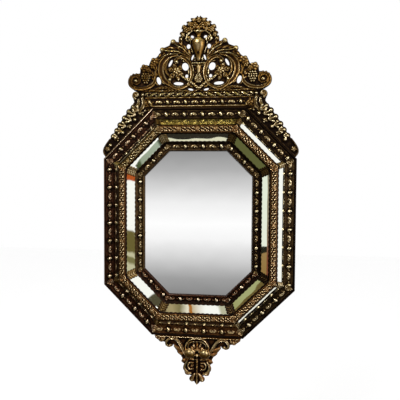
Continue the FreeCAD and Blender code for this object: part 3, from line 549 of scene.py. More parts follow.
def inner_strip(side):
    """Strip round the sight: lip over the inner panel, field with beads, and rolled edge over the plate."""
    level = LEDGE_TOP + SHEET
    lip = INNER.low + SHEET * INNER.out
    bend = INNER.at_height(lip, level)
    end = SIGHT - 2 * SIGHT_ROLL - 0.3
    middle = (bend[0] + end) / 2
    foot = REBATE_TOP + FIT_GAP
    rows = line_rows(bend + 0.4 * INNER.up, lip + LAP * INNER.up, INNER.out, 8, LAP_WAVE * INNER.up)[::-1]
    rows += line_rows(bend + (0.5, 0), (end, level), (0, 1), 17)
    rows += arc_rows((SIGHT - SIGHT_ROLL, level), SIGHT_ROLL, 172, 0, 9)
    rows += line_rows((SIGHT, level - 0.8), (SIGHT, foot), (1, 0), 4)

    def relief(u, s, d, e):
        on_lip, on_roll = s < bend[0], s > end + 0.1
        edge = ramp(s, bend[0], bend[0] + 1.2) * (1 - ramp(s, end - 1.2, end))
        beads = bead_row(u - BOSS_AT[side][1], s - middle, 0.85) * ramp(e, 4, 7)
        high = np.maximum(beads, 1.7 * corner_leaf(e, s - middle, 8.0, 6.5)) * edge
        marks = hammered(u, 1.7 * s, 0.14) * (edge + 0.6 * on_lip)
        # Painted light and shade: each side's strip lighter or darker by its own amount
        shine = 0.03 * on_roll - 0.07 * on_lip + INNER_FIELD_LIGHT.get(side, 0.0)
        return np.where(on_lip | on_roll, 0, high) + marks, shine

    inside = SIGHT - SHEET
    under = [INNER.low + LAP * INNER.up, bend - (0.6, SHEET), (inside, LEDGE_TOP), (inside, foot)]
    brass_here = RED_BRASS if side in ("bottom_left", "bottom", "bottom_right") else OLIVE_BRASS
    strip("inner_strip_relief_" + side, "inner_bead_strip_" + side, side, rows, under, relief, brass_here)


PANEL_EASE, PANEL_RIM = 0.25, 7.0


def mirror_panel(ring, side, slope):
    """Thin slab of mirror on a slope, a trace uneven, with eased edges."""
    half = SIDES[side][3]
    t = np.linspace(-1, 1, int(2 * half / PANEL_STEP))[None, :]
    shares = np.linspace(0, 1, 7)[:, None]
    path = slope.low + (slope.top - slope.low) * shares
    s, d = path[:, :1], path[:, 1:]
    u = t * (half - s * MITRE - MITRE_GAP)
    eased = (np.abs(t) > 0.999) | (shares < 0.01) | (shares > 0.99)
    wave = 0.03 * np.sin(u / 23.0 + s / 11.0) + 0.015 * np.sin(u / 11.0 - s / 7.0) - 0.06 - PANEL_EASE * eased
    front = at(side, u, s + slope.out[0] * wave, d + slope.out[1] * wave)
    under = np.array([slope.low, slope.top]) - GLASS * slope.out
    back_s, back_d = under[:, :1], under[:, 1:]
    back = at(side, t * (half - back_s * MITRE - MITRE_GAP), back_s, back_d)
    points, faces = shell(front, back)
    border = np.minimum(np.minimum(shares, 1 - shares) * slope.length, (1 - np.abs(t)) * half)
    rim = np.concatenate([1 - ramp(border, 0, PANEL_RIM).ravel(), np.ones(2 * t.size)])
    name = ring + "_mirror_" + side
    # The top outer panel takes the glass with the painted reflection of the crest
    glass = CREST_REFLECTION_GLASS if name == "outer_mirror_top" else PANEL_GLASS
    piece(ring + "_glass_" + side, points, faces, glass, name, slot="mirror", sharp=30, rim=rim)


COVER_REACH, COVER_END = (9.6, 13.5), 4.9
# Painted light and shade on the outer and the inner cover at the end of each side: how much lighter or darker
# each is
COVER_SIDE_LIGHT = {
    "top": (-0.16, -0.20),
    "top_right": (0.05, -0.22),
    "right": (0.14, -0.44),
    "bottom_right": (0.14, -0.42),
    "bottom": (-0.05, -0.24),
    "bottom_left": (-0.08, -0.10),
    "left": (0.20, 0.06),
    "top_left": (-0.18, 0.10),
}


def folded(sides, slope, line, reach, w, lift):
    """Points w across the joint of two sides, lifted off the panels along a line up their slope."""
    s, d = line[:, :1], line[:, 1:]
    q = np.abs(w)
    halves = []
    for side, sign in zip(sides, (1, -1)):
        u = sign * (SIDES[side][3] - s * MITRE - q * reach)
        halves.append(at(side, u, s + slope.out[0] * lift, d + slope.out[1] * lift))
    here = np.where((w < 0)[..., None], *halves)
    return np.where((q < 1e-9)[..., None], (halves[0] + halves[1]) / 2, here)


def mitre_covers():
    """Folded leaves of brass over the joints of the panels, ribbed and scalloped."""
    v = np.linspace(0, 1, 26)[:, None]
    w = np.linspace(-1, 1, 23)[None, :]
    q = np.abs(w)
    scallops = 0.84 + 0.16 * np.abs(np.sin(3 * math.pi * v))
    ribs = 0.5 + 0.5 * np.cos(2 * math.pi * (3.5 * v + 0.9 * q))
    high = 1.1 + 1.5 * (1 - q ** 2) * (0.45 + 0.55 * ribs) + 1.0 * np.exp(-((q / 0.16) ** 2))
    high = high * ramp(1 - q, 0.0, 0.12) + 0.25
    tone = 0.08 + 0.12 * high + 0.30 * ribs
    ends = [0, -1]
    leaves, wear = [], []
    names = list(SIDES)
    for sides in zip(names, names[1:] + names[:1]):
        for slope, wide, shine in zip((OUTER, INNER), COVER_REACH, COVER_SIDE_LIGHT[sides[0]]):
            reach = wide * scallops
            line = slope.low + slope.up * (COVER_END + (slope.length - 2 * COVER_END) * v)
            front = folded(sides, slope, line, reach, w, high)
            leaves.append(shell(front, folded(sides, slope, line[ends], reach[ends], w, 0.0)))
            # Painted light and shade of this cover added to the tone of its ribs
            wear += [np.clip(tone + shine, 0, 1).ravel(), np.full(len(ends) * w.size, BACK_WEAR)]
    piece("mitre_leaves", *joined(leaves), OLIVE_BRASS, "mitre_covers", wear=np.concatenate(wear))


def smooth_line(points, step=2.0):
    """Even curve through the points."""
    p = np.asarray(points, float)
    if len(p) == 2:
        count = max(3, int(np.hypot(*(p[1] - p[0])) / step))
        return p[0] + (p[1] - p[0]) * np.linspace(0, 1, count)[:, None]
    ends = np.vstack([2 * p[0] - p[1], p, 2 * p[-1] - p[-2]])
    out = []
    for a, b, c, d in zip(ends, ends[1:], ends[2:], ends[3:]):
        t = np.linspace(0, 1, max(2, int(np.hypot(*(c - b)) / step)), endpoint=False)[:, None]
        bend = (2 * a - 5 * b + 4 * c - d) * t ** 2 + (3 * b - a - 3 * c + d) * t ** 3
        out.append(0.5 * (2 * b + (c - a) * t + bend))
    return np.vstack(out + [p[-1:]])


def spiral(x, z, first, last, start, sweep):
    """Points of a spiral about x, z from one radius to another, angles in degrees."""
    count = max(6, int(abs(sweep) / 30))
    angles = np.radians(start + sweep * np.linspace(0, 1, count))
    radii = first * (last / first) ** np.linspace(0, 1, count)
    return np.stack([x + radii * np.cos(angles), z + radii * np.sin(angles)], axis=-1)


def ray(x, z, angle, near, far):
    """Two points on a line from x, z, angle in degrees."""
    c, s = math.cos(math.radians(angle)), math.sin(math.radians(angle))
    return (x + near * c, z + near * s), (x + far * c, z + far * s)


def off_line(x, z, a, b):
    """How far along the run from a to b each point is nearest to it, 0 to 1, and the way off it."""
    run = b - a
    t = np.clip(((x - a[0]) * run[0] + (z - a[1]) * run[1]) / (run @ run + 1e-9), 0, 1)
    return t, x - a[0] - t * run[0], z - a[1] - t * run[1]


# Sections of strokes: height over q across, -1 to 1, and t along, 0 to 1


def roll(high):
    """Round bar."""
    return lambda q, t: high * dome(q * q)


def channel(high):
    """Hollow band with raised edges."""
    return lambda q, t: high * ramp(1 - np.abs(q), 0, 0.3) * (0.36 + 0.64 * q * q) * (1 - 0.25 * t)


def leafy(high, ribs):
    """Leaf with slanting ribs and a groove along its middle."""
    def section(q, t):
        lines = 0.70 + 0.30 * np.cos(2 * math.pi * (ribs * t - 0.8 * np.abs(q)))
        return high * dome(q * q) * lines * (1 - 0.45 * np.exp(-((q / 0.14) ** 2))) * (1 - 0.3 * t)
    return section


def twisted(high, turns):
    """Twisted cord."""
    return lambda q, t: high * dome(q * q) * (0.55 + 0.45 * np.abs(np.sin(math.pi * (turns * t + 0.45 * q))))


# Half widths along a leaf, as shares of the widest
LEAF_WIDTHS = (0.35, 0.7, 0.95, 1.0, 0.9, 0.65, 0.2)
# Wear of an ornament for each mm of height and for each mm above what is near, and its share left at an edge
RELIEF_HIGH_WEAR, RELIEF_EDGE_WEAR, EDGE_SHARE = 0.040, 0.34, 0.25
# The hollow behind a form follows its front from this height, by this share
HOLLOW_START, HOLLOW_SHARE = 0.8, 0.85
# The four corners of every cell of a grid
LOW_HALF, HIGH_HALF = slice(0, -1), slice(1, None)
CORNERS = [(rows, columns) for columns in (LOW_HALF, HIGH_HALF) for rows in (LOW_HALF, HIGH_HALF)]


def sheet_faces(keep, number, total):
    """Front, back and edge walls of the kept cells; number counts the points in front, total is how many."""
    a, b, c, d = number[:-1, :-1], number[:-1, 1:], number[1:, 1:], number[1:, :-1]
    quads = np.stack([a, b, c, d], axis=-1)[keep]
    walls = []
    for first, second, beyond in (
        (a, b, np.pad(keep, ((1, 0), (0, 0)))[:-1]),
        (c, d, np.pad(keep, ((0, 1), (0, 0)))[1:]),
        (b, c, np.pad(keep, ((0, 0), (0, 1)))[:, 1:]),
        (d, a, np.pad(keep, ((0, 0), (1, 0)))[:, :-1]),
    ):
        edge = keep & ~beyond
        f, s = first[edge], second[edge]
        walls.append(np.stack([f, f + total, s + total, s], axis=-1))
    return np.concatenate([quads, quads[:, ::-1] + total] + walls).tolist()


class Relief:
    """Sheet with a relief on a grid of x and z: distance inside the outline, height and tone."""

    def __init__(self, x0, x1, z0, z1, step, ground, dark_edge=4.5):
        self.step = step
        self.ground = ground
        self.dark_edge = dark_edge
        self.x = np.arange(x0, x1 + step / 2, step)
        self.z = np.arange(z0, z1 + step / 2, step)
        self.X, self.Z = np.meshgrid(self.x, self.z)
        self.inside = np.full(self.X.shape, -30.0)
        self.clear = np.full(self.X.shape, 30.0)
        self.high = np.zeros(self.X.shape)
        self.tone = np.ones(self.X.shape)

    def window(self, low, high):
        """Part of the grid between two corners."""
        i0, i1 = np.searchsorted(self.x, (low[0], high[0]))
        j0, j1 = np.searchsorted(self.z, (low[1], high[1]))
        return slice(j0, j1), slice(i0, i1)

    def near(self, x, z, reach):
        """Part of the grid round a place, and the way to its points."""
        part = self.window((x - reach, z - reach), (x + reach, z + reach))
        return part, self.X[part] - x, self.Z[part] - z

    def put(self, part, inside, high, tone=1.0):
        """Adds a form: how far inside its outline each point is, its height and its tone."""
        self.inside[part] = np.maximum(self.inside[part], inside)
        high = np.where(inside > 0, high, 0.0)
        self.tone[part] = np.where(high > self.high[part], tone, self.tone[part])
        self.high[part] = np.maximum(self.high[part], high)

    def stroke(self, points, widths, section, base=0.0, tone=1.0):
        """Form along a curve, with half widths along it and a section across it."""
        line = smooth_line(points)
        across = np.interp(np.linspace(0, 1, len(line)), np.linspace(0, 1, len(widths)), widths)
        wide = across.max() + 4
        part = self.window(line.min(0) - wide, line.max(0) + wide)
        x, z = self.X[part], self.Z[part]
        depth, best_t, best_q = (np.full(x.shape, v) for v in (-1e9, 0.0, 0.0))
        last = len(line) - 1
        for k, (a, b) in enumerate(zip(line, line[1:])):
            run = b - a
            t, dx, dz = off_line(x, z, a, b)
            away = np.hypot(dx, dz)
            width = across[k] + (across[k + 1] - across[k]) * t
            better = width - away > depth
            depth = np.where(better, width - away, depth)
            best_t = np.where(better, (k + t) / last, best_t)
            best_q = np.where(better, np.sign(run[0] * dz - run[1] * dx) * away / width, best_q)
        self.put(part, depth, base + section(np.clip(best_q, -1, 1), best_t), tone)

    def leaf(self, points, width, high, ribs=4, base=0.0, lobes=3, tone=1.0):
        """Ribbed leaf with a lobed edge along a curve."""
        t = np.linspace(0, 1, 25)
        widths = width * np.interp(t, np.linspace(0, 1, len(LEAF_WIDTHS)), LEAF_WIDTHS)
        widths = widths * (0.86 + 0.14 * np.abs(np.cos(math.pi * lobes * t)))
        self.stroke(points, widths, leafy(high, ribs), base, tone)

    def boss(self, x, z, radius, high, base=0.0, squash=1.0, turn=0.0, tone=1.0):
        """Round or oval boss."""
        part, dx, dz = self.near(x, z, 1.5 * radius)
        c, s = math.cos(turn), math.sin(turn)
        r = np.hypot(dx * c + dz * s, (dz * c - dx * s) / squash)
        self.put(part, (radius - r) * min(1.0, squash), base + high * dome((r / radius) ** 2), tone)

    def rose(self, x, z, radius, high, petals=6, turn=0.0, base=0.0, tone=1.0):
        """Flower with petals round a bead."""
        part, dx, dz = self.near(x, z, radius + 4)
        reach = radius * (0.8 + 0.2 * np.abs(np.cos((np.arctan2(dz, dx) + turn) * petals / 2)))
        self.put(part, reach - np.hypot(dx, dz), base + high * flower(dx, dz, radius, petals, turn), tone)

    def turned(self, outline, base, share, tone):
        """Half of a turned form about x = 0, from (radius, z) points, with a painted highlight down its
        middle and painted shade at its sides.
        """
        radii, heights = np.array(outline, float).T
        wide = np.interp(self.Z, heights, radii)
        body = (self.Z >= heights[0]) & (self.Z < heights[-1])
        high = base + share * wide * dome((self.X / wide) ** 2)
        # Painted highlight down the middle of the form and painted shade towards its sides
        painted_sheen = tone * (0.6 + 0.9 * dome((self.X / (0.75 * wide)) ** 2))
        self.put(np.s_[:, :], np.where(body, wide - self.X, -9.0), high, painted_sheen)

    def field(self, polygon):
        """Plain ground inside a polygon."""
        p = np.asarray(polygon, float)
        away = np.full(self.X.shape, 1e9)
        odd = np.zeros(self.X.shape, bool)
        for a, b in zip(p, np.roll(p, -1, axis=0)):
            run = b - a
            away = np.minimum(away, np.hypot(*off_line(self.X, self.Z, a, b)[1:]))
            if run[1]:
                crosses = (a[1] > self.Z) != (b[1] > self.Z)
                odd ^= crosses & (self.X < a[0] + (self.Z - a[1]) * run[0] / run[1])
        self.put(np.s_[:, :], np.where(odd, away, -away), 0.0)

    def hole(self, x, z, across, up, turn=0.0):
        """Oval opening, its half sizes across and up, turned in degrees."""
        c, s = math.cos(math.radians(turn)), math.sin(math.radians(turn))
        dx, dz = self.X - x, self.Z - z
        r = np.hypot((dx * c + dz * s) / across, (dz * c - dx * s) / up)
        self.clear = np.minimum(self.clear, (r - 1) * min(across, up))

    def mirrored(self):
        """The same sheet on both sides of x = 0."""
        for key in ("inside", "high", "clear", "tone"):
            grid = getattr(self, key)
            setattr(self, key, np.concatenate([grid[:, :0:-1], grid], axis=1))
        self.x = np.concatenate([-self.x[:0:-1], self.x])
        self.X, self.Z = np.meshgrid(self.x, self.z)

    def cells(self, inside):
        """Cells inside the outline; where two meet at a corner only, those beside them are added."""
        keep = sum(inside[corner] for corner in CORNERS) > 0
        for _ in range(3):
            a, b, c, d = (keep[corner] for corner in CORNERS)
            cross = (a & d & ~b & ~c) | (b & c & ~a & ~d)
            for corner in CORNERS:
                keep[corner] |= cross
        return keep

    def build(self, name, node, rear, sheet, material, flip=1.0):
        """Closed sheet: the relief in front, its hollow behind, and a wall round every edge."""
        inside = np.minimum(self.inside, self.clear)
        keep = self.cells(inside)
        use = np.zeros(inside.shape, int)
        for corner in CORNERS:
            use[corner] += keep
        rim, whole, chosen = (use > 0) & (use < 4), use > 3, use > 0
        slope_z, slope_x = np.gradient(inside, self.step)
        steep = slope_x ** 2 + slope_z ** 2 + 1e-6
        most = 0.7 * self.step
        X = flip * (self.X + np.where(rim, np.clip(-inside * slope_x / steep, -most, most), 0))[chosen]
        Z = (self.Z + np.where(rim, np.clip(-inside * slope_z / steep, -most, most), 0))[chosen]
        high = (0.4 * blur(self.high, 1) + 0.6 * self.high) * ramp(inside, -0.2, 2.2)
        marks = hammered(1.3 * self.X, 1.3 * self.Z, 0.12) * whole * (1 - ramp(high, 7, 10))
        high = np.maximum(high + marks, 0)
        hollow = np.where(whole, HOLLOW_SHARE * np.maximum(high - HOLLOW_START, 0), 0)
        total = chosen.sum()
        number = np.full(inside.shape, -1)
        number[chosen] = np.arange(total)
        front = np.stack([X, -rear - sheet - high[chosen], Z], axis=-1)
        back = np.stack([X, -rear - hollow[chosen], Z], axis=-1)
        local = high - blur(high, max(2, int(3.2 / self.step)))
        rubbed = self.tone * (RELIEF_HIGH_WEAR * high + RELIEF_EDGE_WEAR * local)
        rubbed = rubbed * (EDGE_SHARE + (1 - EDGE_SHARE) * ramp(inside, 0.5, self.dark_edge))
        wear = np.clip(self.ground + rubbed, 0, 1)[chosen]
        wear = np.concatenate([wear, np.full(total, HOLLOW_WEAR)])
        points, faces = np.concatenate([front, back]), sheet_faces(keep, number, total)
        piece(name, points, faces, material, node, wear=wear)


URN = ((5.2, 82), (6.6, 90), (10, 100), (13.8, 110), (17, 120), (18, 127), (16.5, 134), (11, 139))
URN_NECK = ((11, 139), (6.2, 142), (5.6, 148), (8.5, 153), (12.8, 156.5), (12.8, 160))
CREST_OUTLINE = (
    (-5, -38), (112, -38), (112, 0), (150, 0), (176, 6), (186, 22), (189, 40), (178, 50), (160, 52),
    (158, 66), (148, 74), (136, 72), (130, 86), (116, 92), (104, 104), (100, 116), (80, 124), (74, 136),
    (56, 127), (49, 148), (44, 164), (34, 177), (20, 188), (8, 196), (-5, 196),
)


def crest_acanthus(sheet):
    """Acanthus behind the ringed scroll, with a rib on the larger leaves."""
    for points, width in (
        (((16, 84), (34, 110), (54, 125), (70, 134)), 9),
        (((30, 92), (44, 116), (50, 134), (52, 146)), 7),
        (((24, 86), (48, 108), (76, 113), (99, 113)), 10),
        (((48, 102), (78, 106), (100, 101), (114, 88)), 8),
        (((70, 99), (92, 94), (108, 82), (116, 66)), 7),
        (((92, 22), (106, 42), (116, 62), (122, 88)), 8),
        (((112, 20), (122, 42), (134, 58), (150, 72)), 8),
    ):
        sheet.leaf(points, width, 5.5, 5)
    for points in (
        ((22, 92), (40, 112), (58, 122), (70, 134)),
        ((34, 96), (60, 107), (88, 109), (100, 114)),
        ((58, 101), (84, 99), (102, 90)),
    ):
        sheet.stroke(points, (1.0, 2.2, 1.2), roll(7.5))
    for x, z in ((69, 133), (98, 112.5)):
        sheet.boss(x, z, 7.2, 5.0, 1.5)
        sheet.boss(x + 1.5, z - 1.5, 3.0, 3.0, 5.5)


def crest_scroll(sheet):
    """Ringed scroll: crescent, inner hook, lower roll, twisted stem and flower, with the openings between."""
    sheet.stroke(((58, 98), (82, 93), (98, 78), (102, 58), (96, 38), (82, 23), (64, 14)),
                 (2.5, 6, 8.5, 9, 8.5, 6, 2.5), channel(8.5))
    sheet.stroke(((26, 20), (18, 40), (18, 60), (26, 79), (40, 90), (53, 91), (62, 85), (61, 78)),
                 (4, 5, 5.5, 5.5, 5.5, 5, 4.5, 4), channel(9.5))
    sheet.boss(59, 79, 5.2, 7, 3)
    sheet.stroke(((80, 33), (76, 20), (60, 10.5), (42, 12), (28, 19), (18, 14)),
                 (3, 4.5, 5, 4.5, 4, 2.5), channel(8))
    sheet.boss(78, 33, 4.2, 5, 2)
    sheet.stroke(((0, 8), (16, 22), (36, 35), (52, 47)), (4.5, 4, 4, 3), twisted(7, 9))
    sheet.stroke(((71, 94), (83, 85), (89, 70), (87.5, 54), (79, 42)),
                 (1.4, 2.8, 3.4, 3.0, 1.6), channel(8.0))
    sheet.stroke(((30, 30), (27, 44), (27, 58), (33, 76), (45, 82)), (1.2, 2.2, 2.4, 2.2, 1.2), roll(6.5))
    for angle, reach, width in (
        (18, 24, 7.5), (72, 21, 7), (138, 21, 7), (200, 19, 6.5), (255, 23, 7), (315, 25, 7.5),
    ):
        sheet.leaf(ray(60, 54, angle, 2, reach), width, 6.5, 3, 1.0)
    sheet.rose(59, 55, 10.5, 6.5, 5, 0.4, 3.5)
    for x, z, across, up, turn in (
        (36, 67, 8.5, 10.5, -25),
        (32, 42, 4, 4.5, 0),
        (76, 77, 3.4, 10, 28),
        (54, 22.5, 13, 4.2, 4),
        (108, 31, 5.5, 10.5, -18),
        (27.5, 120, 5, 6, 0),
        (17.5, 145, 4.5, 3.4, 30),
        (16.5, 91, 2.4, 7.5, 20),
        (21, 6.5, 7, 2.6, 12),
    ):
        sheet.hole(x, z, across, up, turn)


def crest_column(sheet):
    """Column with its berries, and the collar under the urn."""
    sheet.leaf(((4.5, 24), (6, 42), (9, 66)), 5.5, 5.5, 5)
    sheet.leaf(((12, 20), (9, 30), (12, 44)), 4.5, 6, 3)
    for row in range(6):
        for k in range(4):
            x, z = (k + 0.5 * (row % 2)) * 4.4, 25.5 + 4.0 * row
            if x < 11.5 - 0.7 * abs(z - 35):
                sheet.boss(x, z, 2.3, 3.6, 4.5)
    for k in range(4):
        sheet.boss(2.2 + 4.4 * k, 75, 2.3, 5.0, 4.5, tone=1.3)
    sheet.stroke(((0, 69.5), (15, 69.5)), (1.6, 1.6), roll(5))
    sheet.stroke(((0, 52), (0, 66)), (5.0, 7.5), roll(7.5), tone=0.9)


def crest_urn(sheet):
    """Urn with its rim, scrolled handles and pin; the pin's low boss is made near black, a painted shadow of
    a pit.
    """
    sheet.turned(URN, 4.0, 0.72, 0.50)
    # Painted shadow: a near black spot where a pit would lie in shade
    sheet.boss(0, 101, 3.6, 0.8, 12.2, tone=-0.8)
    sheet.stroke([(x + 4.4, z) for x, z in URN], (1.7, 1.9, 1.9, 1.7), roll(5.5))
    sheet.turned(URN_NECK, 4.0, 0.8, 0.50)
    sheet.stroke(((0, 158), (12.5, 158)), (2.2, 1.8), roll(13))
    sheet.stroke(spiral(28, 137.5, 8.5, 2.6, 200, -470), (2.2, 2.0, 1.5), roll(7))
    sheet.stroke(((12, 160), (22, 156), (31, 148), (36, 139)), (1.6, 2.2, 2.0), roll(6))


def crest_bouquet(sheet):
    """Flowers in the urn, with leaves round them."""
    for x, z, radius, petals in (
        (11, 174, 10.5, 6), (0, 187, 8, 5), (13, 188, 6.5, 5), (23.5, 177, 7.5, 6), (33, 162, 9.5, 6),
        (43, 149, 7, 5), (40, 170, 5.5, 5), (22, 164, 7.5, 5), (48, 139, 4.5, 4), (0, 168, 6, 5),
    ):
        sheet.rose(x, z, radius, 5.5, petals, 0.21 * x, 3.0, tone=0.78)
    for points, width in (
        (((2, 180), (4, 190), (4, 199)), 4.5),
        (((12, 184), (17, 191), (22, 192)), 4),
        (((22, 178), (28, 183), (33, 182)), 4),
        (((32, 168), (40, 174), (46, 166)), 4),
        (((40, 152), (47, 156), (51, 152)), 4),
        (((44, 134), (50, 140), (54, 142)), 3.5),
    ):
        sheet.leaf(points, width, 5, 3, 1.0, 1, tone=0.7)


def crest_vine(sheet):
    """Vine lobes, berries and end volute."""
    for x, z, radius, turn in (
        (119, 81, 13, 0.3), (124, 70, 9, 0.9), (147, 64, 12.5, 0.1), (137, 60, 8, 0.5),
    ):
        sheet.rose(x, z, radius, 5, 5, turn, 2.0, tone=0.85)
    for row, count in enumerate((2, 3, 4, 4, 3)):
        for k in range(count):
            sheet.boss(143 + 6.4 * (k - (count - 1) / 2), 26 + 5.8 * row, 3.0, 4.2, 2.5, tone=0.8)
    sheet.stroke(((116, 58), (116, 40), (120, 26), (132, 15.5), (150, 10.5), (168, 11), (180, 17)),
                 (2, 3.5, 5, 5.5, 5, 5, 5), channel(8.5))
    sheet.stroke(spiral(171, 32, 19.5, 5, -70, 520), (5, 6, 6, 5, 4, 3, 2.4), channel(8.5), tone=0.75)
    sheet.boss(170, 31, 4.6, 6, 3)
    for k in range(7):
        sheet.leaf(ray(172, 32, 27 * k - 38, 9, 20), 5.0, 6.0, 2, 0.5, 1, tone=0.75)


def crest():
    """Pierced crest: one half with its leaf scrolls along the base, mirrored, with painted shade towards the
    left end.
    """
    sheet = Relief(0, 196, -40, 202, step=1.1, ground=0.15)
    sheet.field(CREST_OUTLINE)
    for section in (crest_acanthus, crest_scroll, crest_column, crest_urn, crest_bouquet, crest_vine):
        section(sheet)
    sheet.leaf(((4, 3.5), (24, 2.5), (46, 4)), 3.4, 5, 5)
    sheet.leaf(((40, 2.5), (70, 4.5), (104, 3)), 4.2, 5.5, 7)
    sheet.leaf(((66, 9), (90, 12), (122, 9)), 4.5, 5.5, 6)
    sheet.leaf(((98, 3), (124, 4.5), (150, 3.5)), 3.6, 5, 5)
    sheet.mirrored()
    # Painted shade: the tone falls off towards the left end
    sheet.tone = sheet.tone * (1 - 0.45 * ramp(-sheet.X, 70, 165))
    sheet.Z = sheet.Z + CREST_LINE
    sheet.build("crest_relief", "crest_panel", CREST_BACK, CREST_SHEET, GOLD_BRASS)


ROPE_AT, ROPE_RADIUS, ROPE_PITCH, ROPE_LEAN, ROPE_START = 345.6, 5.9, 23.4, 1.6, 6.0
BASE_LOW, BASE_HIGH, BASE_BEADS_AT, BASE_BOSS_AT = 309.4, 351.6, 325.4, 14.6
BASE_TONE = 1.8


def base_strip():
    """Strip under the crest: a rope that twists towards the middle, with pearls, over a row of bosses."""
    sheet = Relief(-STRIP_HALF - 1.2, STRIP_HALF + 1.2, 308, 353, step=0.95, ground=0.20)
    x, z = sheet.X, sheet.Z
    inside = np.minimum(STRIP_HALF - np.abs(x), np.minimum(z - BASE_LOW, BASE_HIGH - z))
    sheet.put(np.s_[:, :], inside, 0.0)
    sheet.tone[:] = BASE_TONE
    c = z - ROPE_AT
    along = repeat(np.abs(x) + ROPE_LEAN * c - ROPE_START, ROPE_PITCH)
    strand = dome((along / 6.6) ** 2) * (0.8 + 0.2 * np.cos(2 * math.pi * along / 4.4))
    rope = 6.0 * dome((c / ROPE_RADIUS) ** 2) * (0.08 + 0.92 * strand)
    gap = repeat(np.abs(x) - ROPE_START - ROPE_PITCH / 2, ROPE_PITCH)
    pearls = np.zeros_like(x)
    for over, up, radius in ((-3.6, 3.4, 1.6), (3.6, -3.4, 1.8)):
        pearls = np.maximum(pearls, dome(((gap - over) ** 2 + (c - up) ** 2) / radius ** 2))
    beads = bead_row(x - BASE_BOSS_AT, BASE_BEADS_AT - z, 1.0) * ramp(STRIP_HALF - 9 - np.abs(x), 0, 3)
    sheet.high = np.maximum.reduce([rope, 4.0 * pearls, 1.45 * beads])
    for level, size, rise in ((337.0, 1.1, 1.6), (314.8, 1.2, 1.5)):
        sheet.high = np.maximum(sheet.high, rise * dome(((z - level) / size) ** 2))
    for sign in (1, -1):
        sheet.leaf([(sign * p, q) for p, q in ((126, 315), (134, 323), (137, 335))], 5.0, 5.0, 3, tone=0.8)
        sheet.leaf([(sign * p, q) for p, q in ((145, 332), (141, 322), (134, 313))], 4.0, 4.5, 3, tone=0.8)
        sheet.boss(sign * 127, 321, 2.6, 3.5)
    sheet.build("rope_relief", "crest_base_strip", STRIP_BACK, STRIP_SHEET, GOLD_BRASS)


BRACKET_OUTLINE = (
    (118, 313), (140, 313), (140, 351), (147, 355), (160, 357), (172, 357), (181, 350), (180, 338),
    (177, 328), (184, 317), (195, 303), (206, 287), (220, 267), (230, 251), (241, 234), (256, 215),
    (263, 200), (262, 186), (255, 179),
)
# Row of bosses: distance between them along x and z, where the row starts, and where bosses and leaves end
BRACKET_PITCH, ROW_START, BOSS_END, LEAF_END = 34.6, 138, 246, 240
# Gap to the octagon, how far the bracket reaches behind the strip under the crest, and its upper edge there
BRACKET_GAP, TUCK_REACH, TUCK_TOP = 0.6, 6.0, 313.0


